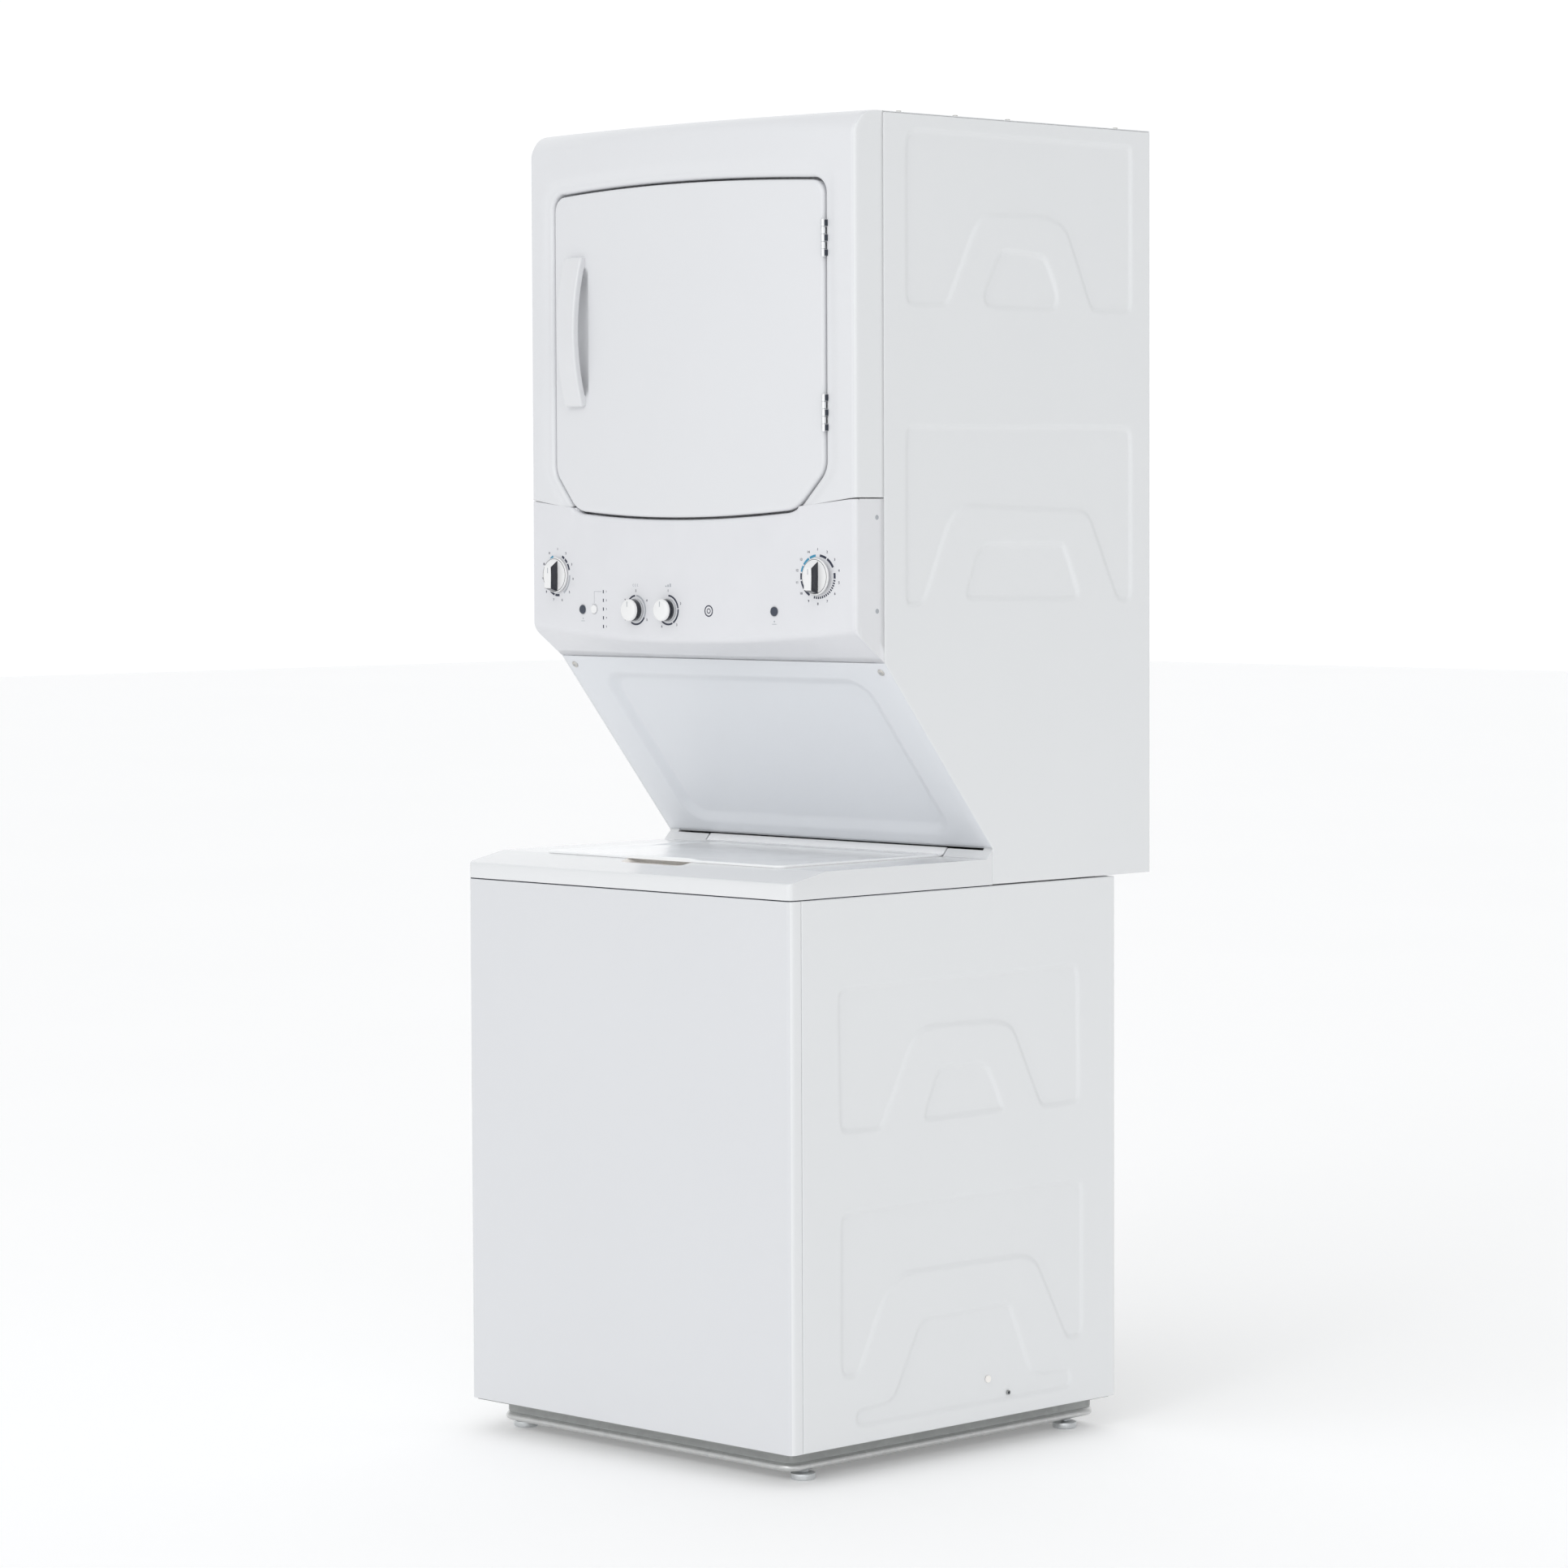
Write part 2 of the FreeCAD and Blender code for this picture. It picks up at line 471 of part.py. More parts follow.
# slanted panel, built flat (X, distance down the slant, depth behind it)
sl = fuse(box(-338.2, 338.2, 1.5, 350.3, 0, T), box(-316.0, 316.0, 1.5, 1.5 + T, 0, 14.0),
          box(-316.0, 316.0, 350.3 - T, 350.3, 0, 8.0))


def frustum(hx0, s0, s1, d0, hx1, t0, t1, d1):
    a = Part.makePolygon([V(-hx0, s0, d0), V(hx0, s0, d0), V(hx0, s1, d0), V(-hx0, s1, d0), V(-hx0, s0, d0)])
    b = Part.makePolygon([V(-hx1, t0, d1), V(hx1, t0, d1), V(hx1, t1, d1), V(-hx1, t1, d1), V(-hx1, t0, d1)])
    return Part.makeLoft([a, b], True, True)


sl = fuse(sl, frustum(280.5, 30.5, 333.5, 0.0, 259.0, 52.0, 314.0, 9.2)).cut(
    frustum(280.5, 30.5, 333.5, -0.01, 258.0, 53.0, 313.0, 8.0))
sl.rotate(V(0, 0, 0), V(1, 0, 0), math.degrees(math.atan2(SLD[1], SLD[0])))
sl.translate(V(0, SL_TOP[0], SL_TOP[1]))
sl = drill(sl, ("slant",))
put("slanted_panel", sl)

# ---- dryer front panel
XS = [-HX, -290.0, -220.0, -140.0, -60.0, 0.0, 60.0, 140.0, 220.0, 290.0, HX]


def fp_outer(x, e=0.0):
    f = yf(x) + e
    return [(189.9 + e * 2, 1340.0), (f, 1340.0), (f, 1896.0 - e * 0.4), (f + 3.5, 1906.5 - e * 0.6), (f + 9.5, 1915.0 - e * 0.8),
            (f + 17.0, 1921.5 - e * 0.9), (f + 26.0, 1925.3 - e), (f + 36.0, 1926.9 - e), (189.9 + e * 2, 1926.9 - e)]


XI = [x * (HX - 1.5) / HX for x in XS]
fp_o = loft_x(fp_outer, XS)
fp_i = loft_x(lambda x: fp_outer(x, 1.5), XI)
fp = fp_o.cut(fp_i)
# cut the skin along the door recess, then add the recess walls and floor
fp = fp.cut(door_prism(DOOR_GAP + 1.5, 60.0, 151.5))
below = prism_y([(-HX - 1, 1300.0), (-HX - 1, seam(HX)), (-238.0, 1373.7), (238.0, 1373.7), (HX + 1, seam(HX)), (HX + 1, 1300.0)], 60.0, 250.0)
fp = fp.cut(below)
inner_clip = loft_x(fp_outer, XS)
rec = door_prism(DOOR_GAP + 1.5, 60.0, 151.5).common(inner_clip).cut(door_prism(DOOR_GAP, 50.0, 150.0))
fp = fuse(fp, rec).cut(cyl(OPEN_R, 60.0, (0, 120.0, DRUM_Z), (0, 1, 0)))
# slots for the hinge knuckles and a hole for the door catch
for hz in HINGE_Z:
    fp = fp.cut(box(HINGE_X - 0.6, HINGE_X + 5.5, 110.0, 140.5, hz - 27.0, hz + 27.0))
fp = fp.cut(box(-262.0, -248.0, 140.0, 160.0, DRUM_Z - 14.0, DRUM_Z + 14.0))
fp = drill(fp, ("front",))
put("dryer_front_panel", fp)


# ---- control fascia
def zb(x):
    # lower bend of the fascia: dips in the middle
    return 1196.5 - 20.0 * (1.0 - (x / HX) ** 2) ** 1.0


def fa_outer(x):
    return [(189.9, 1152.0), (yf(x) + 3.0, zb(x) - 2.4), (yf(x), zb(x) + 3.0), (yf(x), 1386.0), (189.9, 1386.0)]


def fa_inner(x):
    return [(192.0, 1154.9), (yf(x) + 5.0, zb(x) + 0.6), (yf(x) + 2.5, zb(x) + 4.2), (yf(x) + 2.5, 1390.0), (192.0, 1390.0)]


fa = loft_x(fa_outer, XS).cut(loft_x(fa_inner, [x * (HX - 2.5) / HX for x in XS]))
above = prism_y([(-HX - 1, 1400.0), (-HX - 1, seam(HX) - 1.0), (-238.0, 1372.7), (238.0, 1372.7), (HX + 1, seam(HX) - 1.0), (HX + 1, 1400.0)], 60.0, 250.0)
fa = fa.cut(above).cut(door_prism(DOOR_GAP + 2.0, 60.0, 152.0))
KN = {"washer_cycle_knob": (-273.4, 1272.6, 26.0), "dryer_cycle_knob": (273.4, 1273.4, 26.0),
      "temperature_knob": (-88.2, 1222.8, 17.0), "load_size_knob": (-18.0, 1223.5, 17.0)}
BT = {"washer_start_button": (-211.0, 1222.3, 6.9), "option_button": (-184.0, 1223.0, 6.9), "dryer_start_button": (193.6, 1223.5, 6.9)}
for kx, kz, kr in KN.values():
    fa = fa.cut(cyl(4.0, 60.0, (kx, 80.0, kz), (0, 1, 0)))
for bx, bz, br in BT.values():
    fa = fa.cut(cyl(br + 0.35, 60.0, (bx, 80.0, bz), (0, 1, 0)))
LENS_X = -162.6
LENS_Z = (1249.0, 1236.2, 1223.4, 1210.5, 1197.7)
for lz in LENS_Z:
    fa = fa.cut(box(LENS_X - 1.2, LENS_X + 1.2, 80.0, 140.0, lz - 2.6, lz + 2.6))
put("control_fascia", fa)


# ---- knobs, each built at its own place on the fascia
def big_knob(kx, kz, kr):
    y0 = yf(kx) - 0.4
    y0 = min(yf(kx - kr), yf(kx + kr)) - 0.6
    skirt = cyl(kr, 4.0, (kx, y0 - 4.0, kz), (0, 1, 0))
    blade = box(kx - 7.5, kx + 7.5, y0 - 17.0, y0 - 3.0, kz - 24.0, kz + 23.0)
    cutter = prism_x([(y0 - 20.0, kz + 24.0), (y0 - 20.0, kz + 13.0), (y0 - 17.0, kz + 14.0), (y0 - 4.0, kz + 23.2), (y0 - 4.0, kz + 24.0)], kx - 9, kx + 9)
    shaft = cyl(3.2, 26.0, (kx, y0 - 1.0, kz), (0, 1, 0))
    return fuse(skirt, blade.cut(cutter), shaft)


def small_knob(kx, kz, kr):
    y0 = min(yf(kx - kr), yf(kx + kr)) - 0.6
    base = cyl(kr, 2.6, (kx, y0 - 2.6, kz), (0, 1, 0))
    body = cyl(kr - 2.6, 15.0, (kx, y0 - 17.0, kz), (0, 1, 0))
    body = body.makeFillet(1.6, [e for e in body.Edges if e.BoundBox.YMax < y0 - 16.9 and e.Length > 50])
    shaft = cyl(3.2, 24.0, (kx, y0 - 1.0, kz), (0, 1, 0))
    return fuse(base, body, shaft)


for n in ("washer_cycle_knob", "dryer_cycle_knob"):
    put(n, big_knob(*KN[n]))
for n in ("temperature_knob", "load_size_knob"):
    put(n, small_knob(*KN[n]))
for n, (bx, bz, br) in BT.items():
    yy = yf(bx)
    b = cyl(br, 13.0, (bx, yy - 2.4, bz), (0, 1, 0))
    b = b.makeFillet(0.8, [e for e in b.Edges if e.BoundBox.YMax < yy - 2.3 and e.Length > 20])
    put(n, b.fuse(cyl(br + 2.0, 2.0, (bx, yy + 8.6, bz), (0, 1, 0))).removeSplitter())
put("status_lenses", Part.makeCompound([box(LENS_X - 0.9, LENS_X + 0.9, yf(LENS_X) - 0.3, yf(LENS_X) + 6.0, lz - 2.3, lz + 2.3) for lz in LENS_Z]))

# rotary switches and button switches behind the fascia, and the board they sit on
sw = [box(-318.0, 318.0, 149.6, 151.2, 1190.0, 1310.0)]
for kx, kz, kr in KN.values():
    yy = max(yf(kx - 18.0), yf(kx + 18.0)) + 3.4
    sw.append(cyl(18.0, 150.0 - yy, (kx, yy, kz), (0, 1, 0)))
for bx, bz, br in BT.values():
    sw.append(cyl(6.0, 150.0 - yf(bx) - 14.0, (bx, yf(bx) + 14.0, bz), (0, 1, 0)))
sw.append(box(LENS_X - 5.0, LENS_X + 5.0, yf(LENS_X) + 8.0, 150.0, 1195.0, 1254.0))
swb = fuse(*sw)
for kx, kz, kr in KN.values():
    swb = swb.cut(cyl(3.26, 90.0, (kx, 90.0, kz), (0, 1, 0)))
put("control_switches", swb)

# ---- front bulkhead: carries the drum's mouth
bh = box(-317.0, 317.0, 176.0, 177.2, 1169.0, 1922.0)
bh = fuse(bh, tube(240.0, 238.8, 24.0, (0, 176.5, DRUM_Z), (0, 1, 0)))
bh = bh.cut(cyl(OPEN_R, 60.0, (0, 150.0, DRUM_Z), (0, 1, 0)))
bh = bh.cut(cyl(44.0, 20.0, (MOTOR_X, 170.0, MOTOR_Z), (0, 1, 0)))
chute = fuse(box(-106.5, 106.5, 154.2, 155.4, 1334.0, 1384.0), box(-106.5, -105.0, 154.2, 176.5, 1334.0, 1384.0),
             box(105.0, 106.5, 154.2, 176.5, 1334.0, 1384.0))
catch = box(-270.0, -240.0, 155.0, 176.5, DRUM_Z - 20.0, DRUM_Z + 20.0).cut(
    box(-260.0, -250.0, 150.0, 169.0, DRUM_Z - 10.0, DRUM_Z + 10.0))
bh = fuse(bh, chute, catch)
put("front_bulkhead", bh)

# ---- drum
dprof = [(242.5, 196), (252, 196), (DRUM_R - 4, 206), (DRUM_R, 214), (DRUM_R, 690), (270, 708), (0, 708), (0, 706), (269, 706),
         (DRUM_R - 1.5, 689), (DRUM_R - 1.5, 215), (DRUM_R - 5, 208), (251, 197.6), (242.5, 197.6)]
w = Part.makePolygon([V(r, y, 0) for r, y in dprof] + [V(242.5, 196, 0)])
drum = Part.Face(w).revolve(V(0, 0, 0), V(0, 1, 0), 360)
drum = fuse(drum, cyl(10.0, 46.0, (0, 706.5, 0), (0, 1, 0)), cyl(40.0, 5.0, (0, 707.5, 0), (0, 1, 0)))
drum.translate(V(0, 0, DRUM_Z))
put("dryer_drum", drum)
bf = []
for k in range(3):
    b = prism_y([(-26.0, -(DRUM_R - 7.0)), (26.0, -(DRUM_R - 7.0)), (8.0, -(DRUM_R - 72.0)), (-8.0, -(DRUM_R - 72.0))], 226.0, 672.0)
    b.rotate(V(0, 0, 0), V(0, 1, 0), 60.0 + 120.0 * k)
    b.translate(V(0, 0, DRUM_Z))
    bf.append(b)
put("drum_baffles", Part.makeCompound(bf))

# ---- dryer motor train
dm = fuse(cyl(62.0, 118.0, (MOTOR_X, 300.0, MOTOR_Z), (0, 1, 0)),
          box(MOTOR_X - 50.0, MOTOR_X + 50.0, 310.0, 408.0, 1156.2, 1200.0),
          tube(24.0, 6.06, 8.0, (MOTOR_X, 293.0, MOTOR_Z), (0, 1, 0)))
dm = dm.cut(cyl(6.06, 200.0, (MOTOR_X, 280.0, MOTOR_Z), (0, 1, 0)))
put("dryer_motor", dm)
ds = fuse(cyl(6.0, 250.0, (MOTOR_X, 220.0, MOTOR_Z), (0, 1, 0)), cyl(R_DRUM_PULLEY, 22.0, (MOTOR_X, 444.0, MOTOR_Z), (0, 1, 0)),
          tube(15.0, 5.0, 2.0, (MOTOR_X, 442.0, MOTOR_Z), (0, 1, 0)))
put("drum_drive_pulley", ds)
bw = fuse(tube(80.0, 74.0, 60.0, (MOTOR_X, 194.0, MOTOR_Z), (0, 1, 0)), tube(79.0, 6.05, 4.0, (MOTOR_X, 250.0, MOTOR_Z), (0, 1, 0)),
          tube(14.0, 6.05, 24.0, (MOTOR_X, 228.0, MOTOR_Z), (0, 1, 0)))
vent = []
for k in range(24):
    s = box(-4.0, 4.0, 199.0, 247.0, 70.0, 84.0)
    s.rotate(V(0, 0, 0), V(0, 1, 0), 15.0 * k)
    s.translate(V(MOTOR_X, 0, MOTOR_Z))
    vent.append(s)
bw = bw.cut(Part.makeCompound(vent))
put("blower_wheel", bw)
bo = fuse(cyl(95.0, 90.0, (MOTOR_X, 180.0, MOTOR_Z), (0, 1, 0)),
          box(MOTOR_X, EXH_X - 50.2, 190.0, 269.8, MOTOR_Z - 92.0, MOTOR_Z - 24.0))
bi = fuse(cyl(92.5, 84.0, (MOTOR_X, 183.0, MOTOR_Z), (0, 1, 0)),
          box(MOTOR_X, EXH_X - 40.0, 193.0, 267.0, MOTOR_Z - 89.0, MOTOR_Z - 27.0))
bo = bo.cut(bi).cut(cyl(42.0, 20.0, (MOTOR_X, 170.0, MOTOR_Z), (0, 1, 0))).cut(cyl(9.0, 30.0, (MOTOR_X, 262.0, MOTOR_Z), (0, 1, 0)))
put("blower_housing", bo)

ed = fuse(tube(49.2, 48.0, 759.5 - 288.5, (EXH_X, 288.5, EXH_Z), (0, 1, 0)), tube(49.8, 48.0, Y_COLLAR - 759.0, (EXH_X, 759.0, EXH_Z), (0, 1, 0)))
el = box(EXH_X - 50.0, EXH_X + 50.0, 182.0, 289.8, EXH_Z - 60.0, EXH_Z + 52.0).cut(
    box(EXH_X - 48.5, EXH_X + 48.5, 183.5, 288.3, EXH_Z - 58.5, EXH_Z + 50.5))
el = el.cut(cyl(48.0, 30.0, (EXH_X, 275.0, EXH_Z), (0, 1, 0))).cut(box(EXH_X - 60.0, EXH_X - 40.0, 189.0, 271.0, MOTOR_Z - 93.0, MOTOR_Z - 23.0))
put("exhaust_duct", fuse(ed, el))

lf = fuse(box(-102.0, 102.0, 158.0, 168.0, 1228.0, 1382.0).cut(box(-92.0, 92.0, 160.5, 169.0, 1238.0, 1372.0)),
          box(-104.0, 104.0, 157.0, 169.0, 1382.0, 1386.0), box(-30.0, 30.0, 160.0, 166.0, 1385.0, 1400.0))
lf = lf.cut(box(-22.0, 22.0, 158.0, 168.0, 1388.0, 1396.0))
put("lint_filter", lf)

IDX, IDZ, IDR = 0.0, 0.0, 22.0
db = loop_belt((0.0, DRUM_Z), DRUM_R + 0.4, (MOTOR_X, MOTOR_Z), R_DRUM_PULLEY + 0.4, 449.0, 461.0,
               lambda p, h=0.0: V(p[0], 449.0 + h, p[1]), 2.0)
put("drum_belt", db)
# idler leans on the belt's slack side from outside
base = math.atan2(MOTOR_Z - DRUM_Z, MOTOR_X)
dd = math.hypot(MOTOR_X, MOTOR_Z - DRUM_Z)
off = math.acos((DRUM_R - R_DRUM_PULLEY) / dd)
ang = base + off
px, pz = MOTOR_X + (R_DRUM_PULLEY + 2.4) * math.cos(ang), MOTOR_Z + (R_DRUM_PULLEY + 2.4) * math.sin(ang)
tx, tz = (0.0 + (DRUM_R + 2.4) * math.cos(ang)) - px, (DRUM_Z + (DRUM_R + 2.4) * math.sin(ang)) - pz
tl = math.hypot(tx, tz)
ix = px + tx / tl * 66.0 + math.cos(ang) * (IDR + 0.3)
iz = pz + tz / tl * 66.0 + math.sin(ang) * (IDR + 0.3)
put("idler_pulley", tube(IDR, 4.06, 18.0, (ix, 446.0, iz), (0, 1, 0)))
br = fuse(cyl(4.0, 24.0, (ix, 444.0, iz), (0, 1, 0)), box(ix - 7.0, ix + 7.0, 467.0, 470.0, 1155.5, iz + 8.0))
put("dryer_floor", fuse(fl, br))
print("idler axis", ix, iz)

hd = box(150.0, 290.0, 300.0, 700.0, 1156.4, 1290.0).cut(box(152.0, 288.0, 299.0, 701.0, 1158.4, 1288.0))
hd = hd.cut(cyl(DRUM_R + 8.0, 600.0, (0, 250.0, DRUM_Z), (0, 1, 0)))
put("heater_duct", hd)

# ---- water inlet valve and power inlet on the back
wv = fuse(box(150.0, 300.0, 755.9 - 16.0, 755.9, 1000.0, 1080.0).cut(box(152.0, 298.0, 730.0, 754.0, 1002.0, 1078.0)))
wv = box(165.0, 285.0, 700.0, 764.0, 1014.0, 1066.0)
for vx in (192.0, 258.0):
    wv = fuse(wv, cyl(13.2, 18.0, (vx, 763.0, 1040.0), (0, 1, 0)))
for vx in (192.0, 258.0):
    wv = wv.cut(cyl(8.0, 60.0, (vx, 730.0, 1040.0), (0, 1, 0)))
put("water_inlet_valve", wv)
pi = fuse(box(170.0, 290.0, 759.0, 772.0, 1150.0, 1210.0), cyl(13.6, 16.0, (230.0, 744.0, 1180.0), (0, 1, 0)))
pi = pi.cut(cyl(11.0, 60.0, (230.0, 730.0, 1180.0), (0, 1, 0)))
put("power_inlet_cover", pi)

# ================================================================ DOOR
do_s = door_prism(0.0, 60.0, DOOR_BACK).common(front_solid(yd, DOOR_HX + 20.0, 200.0, 1300.0, 1900.0))
do_i = door_prism(-1.6, 60.0, DOOR_BACK + 1.0).common(front_solid(yd, DOOR_HX + 20.0, 220.0, 1300.0, 1900.0, 1.6))
doo = do_s.cut(do_i)
for hz in HINGE_Z:
    doo = doo.cut(box(HINGE_X - 7.5, HINGE_X + 9.0, 100.0, 139.0, hz - 27.6, hz + 27.6))
pk_o = vertical_fillet(box(-241.7, -198.3, 100.0, 138.0, 1536.3, 1725.7), 8.0, lambda x, y: y > 120)
pk_i = vertical_fillet(box(-240.2, -199.8, 90.0, 136.5, 1537.8, 1724.2), 6.5, lambda x, y: y > 120)
doo = fuse(doo, pk_o.common(do_s)).cut(pk_i)
put("door_outer_panel", doo)
di = door_prism(-2.2, 143.0, 149.4)
di = di.cut(door_prism(-22.0, 140.0, 147.9))
di = fuse(di, tube(206.0, 204.5, 7.0, (0, 142.0, DRUM_Z), (0, 1, 0)).common(box(-300, 300, 140, 149.0, 1300, 1900)))
for hz in HINGE_Z:
    di = di.cut(box(HINGE_X - 40.0, HINGE_X + 9.0, 130.0, 145.8, hz - 30.0, hz + 30.0))
strike = fuse(box(-259.0, -251.0, 147.0, 150.0, DRUM_Z - 12.0, DRUM_Z + 12.0),
              box(-257.0, -253.0, 149.5, 166.0, DRUM_Z - 7.0, DRUM_Z + 7.0))
di = fuse(di, strike)
put("door_inner_panel", di)

# bow handle, with a scooped pocket in the door behind it for the fingers
HC_Z, HH = 1631.0, 110.0


def arc3(pa, pm, pb, x):
    return Part.Arc(V(x, pa[0], pa[1]), V(x, pm[0], pm[1]), V(x, pb[0], pb[1])).toShape()


def seg(pa, pb, x):
    return Part.LineSegment(V(x, pa[0], pa[1]), V(x, pb[0], pb[1])).toShape()


hx0, hx1 = -243.0, -205.0
a0, a1 = (130.0, HC_Z + HH), (112.5, HC_Z + HH)
b1, b0 = (112.5, HC_Z - HH), (130.0, HC_Z - HH)
c0, c1 = (130.0, HC_Z - 94.5), (120.4, HC_Z - 94.5)
d1, d0 = (120.4, HC_Z + 94.5), (130.0, HC_Z + 94.5)
hw = Part.Wire([seg(a0, a1, hx0), arc3(a1, (95.5, HC_Z), b1, hx0), seg(b1, b0, hx0), seg(b0, c0, hx0), seg(c0, c1, hx0),
                arc3(c1, (107.2, HC_Z), d1, hx0), seg(d1, d0, hx0), seg(d0, a0, hx0)])
hdl = Part.Face(hw).extrude(V(hx1 - hx0, 0, 0))
hdl = hdl.cut(front_solid(yd, DOOR_HX + 20.0, 200.0, 1300.0, 1900.0, 0.0))
ends = [e for e in hdl.Edges if abs(e.BoundBox.XMax - hx0) < 0.01 and e.BoundBox.YMax < 113.0 and e.Length > 100]
ends += [e for e in hdl.Edges if abs(e.BoundBox.XMin - hx1) < 0.01 and e.BoundBox.YMax < 113.0 and e.Length > 100]
try:
    hdl = hdl.makeFillet(4.0, ends)
except Exception:
    print("handle edge left square")
put("door_handle", hdl)

# ---- door hinges: five knuckles each, 1-3-5 on the cabinet, 2-4 on the door
KL = 10.5
fix, mov, pn = [], [], []
for hz in HINGE_Z:
    for k in range(5):
        z0 = hz - 2.5 * KL + k * KL + 0.15
        kn = tube(3.4, HINGE_PIN_R + (0.0 if k in (0, 2, 4) else 0.05), KL - 0.3, (HINGE_X, HINGE_Y, z0), (0, 0, 1))
        if k in (0, 2, 4):
            arm = box(HINGE_X + 1.85, HINGE_X + 3.35, HINGE_Y, 146.0, z0, z0 + KL - 0.3)
            fix.append(kn.fuse(arm.cut(cyl(3.3, 40.0, (HINGE_X, HINGE_Y, z0 - 5), (0, 0, 1)))))
        else:
            arm = box(HINGE_X - 3.2, HINGE_X - 1.6, HINGE_Y, 138.0, z0, z0 + KL - 0.3)
            mov.append(kn.fuse(arm.cut(cyl(3.3, 40.0, (HINGE_X, HINGE_Y, z0 - 5), (0, 0, 1)))))
    fix.append(box(HINGE_X + 1.85, HINGE_X + 3.35, 140.8, 149.8, hz - 25.0, hz + 25.0))
    mov.append(box(HINGE_X - 28.0, HINGE_X - 1.6, 136.6, 138.2, hz - 25.0, hz + 25.0))
    pn.append(cyl(HINGE_PIN_R, 5 * KL + 1.4, (HINGE_X, HINGE_Y, hz - 2.5 * KL - 0.7), (0, 0, 1)))


def groups(parts, n):
    k = len(parts) // n
    out = []
    for i in range(n):
        out.append(fuse(*parts[i * k:(i + 1) * k]))
    return Part.makeCompound(out)


fixed = []
for i in range(2):
    fixed.append(fuse(pn[i], *fix[i * 4:(i + 1) * 4]))
put("door_hinge_leaves", Part.makeCompound(fixed))
put("door_hinge_straps", groups(mov, 2))

put("cabinet_screws", Part.makeCompound([screw((p[0] - d[0] * 0.05, p[1] - d[1] * 0.05, p[2] - d[2] * 0.05), d) for p, d, k in SCREWS]))

# ---------------------------------------------------------------- write
bb = None
for name, shape in OUT.items():
    ok = shape.isValid()
    ns = len(shape.Solids)
    vol = shape.Volume
    if not ok or ns == 0 or vol <= 0:
        print("CHECK", name, "valid", ok, "solids", ns, "vol", round(vol, 1))
    if ns == 1:
        shape = shape.Solids[0]
    shape.exportStep("parts/%s.step" % name)
    b = shape.BoundBox
    bb = b if bb is None else bb.united(b)
print(len(OUT), "nodes; box", round(bb.XMin, 2), round(bb.XMax, 2), round(bb.YMin, 2), round(bb.YMax, 2), round(bb.ZMin, 2), round(bb.ZMax, 2))
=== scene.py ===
import json
import math

import bmesh
import bpy
import numpy as np
from mathutils import Matrix, Vector


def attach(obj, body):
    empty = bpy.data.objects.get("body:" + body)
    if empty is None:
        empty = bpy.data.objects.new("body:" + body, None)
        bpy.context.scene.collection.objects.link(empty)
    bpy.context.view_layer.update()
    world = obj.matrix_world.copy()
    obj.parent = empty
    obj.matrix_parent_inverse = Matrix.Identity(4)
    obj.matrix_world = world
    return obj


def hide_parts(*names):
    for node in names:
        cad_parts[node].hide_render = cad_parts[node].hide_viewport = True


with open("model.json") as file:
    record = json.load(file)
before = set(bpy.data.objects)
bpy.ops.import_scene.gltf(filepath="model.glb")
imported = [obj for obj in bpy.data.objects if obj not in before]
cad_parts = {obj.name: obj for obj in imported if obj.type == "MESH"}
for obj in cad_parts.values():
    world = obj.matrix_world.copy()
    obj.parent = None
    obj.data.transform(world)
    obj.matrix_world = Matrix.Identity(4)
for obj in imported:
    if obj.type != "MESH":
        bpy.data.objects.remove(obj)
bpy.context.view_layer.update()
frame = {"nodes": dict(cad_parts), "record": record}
scene = bpy.context.scene

# Pieces are drawn in millimetres with Y = 0 at the washer's front panel, and shifted by OY into the row frame.
OY = -393.0


def P(p):
    return (p[0] * 0.001, (p[1] + OY) * 0.001, p[2] * 0.001)


# ------------------------------------------------------------------ camera
def make_camera():
    az, pt, rl = math.radians(45.32), math.radians(-3.09), math.radians(-0.23)
    B = Vector((math.sin(az) * math.cos(pt), -math.cos(az) * math.cos(pt), -math.sin(pt)))
    r0 = Vector((math.cos(az), math.sin(az), 0.0))
    u0 = B.cross(r0)
    R = r0 * math.cos(rl) + u0 * math.sin(rl)
    U = u0 * math.cos(rl) - r0 * math.sin(rl)
    cam = bpy.data.cameras.new("camera")
    cam.sensor_width = 36.0
    cam.sensor_fit = "HORIZONTAL"
    cam.lens = 6103.32 / 1932.0 * 36.0
    cam.clip_start, cam.clip_end = 0.1, 200.0
    o = bpy.data.objects.new("camera", cam)
    scene.collection.objects.link(o)
    m = Matrix((R, U, B)).transposed().to_4x4()
    m.translation = Vector(P((5210.9, -4827.4, 1358.2)))
    o.matrix_world = m
    scene.camera = o


make_camera()
scene.view_settings.view_transform = "Standard"
scene.view_settings.look = "None"


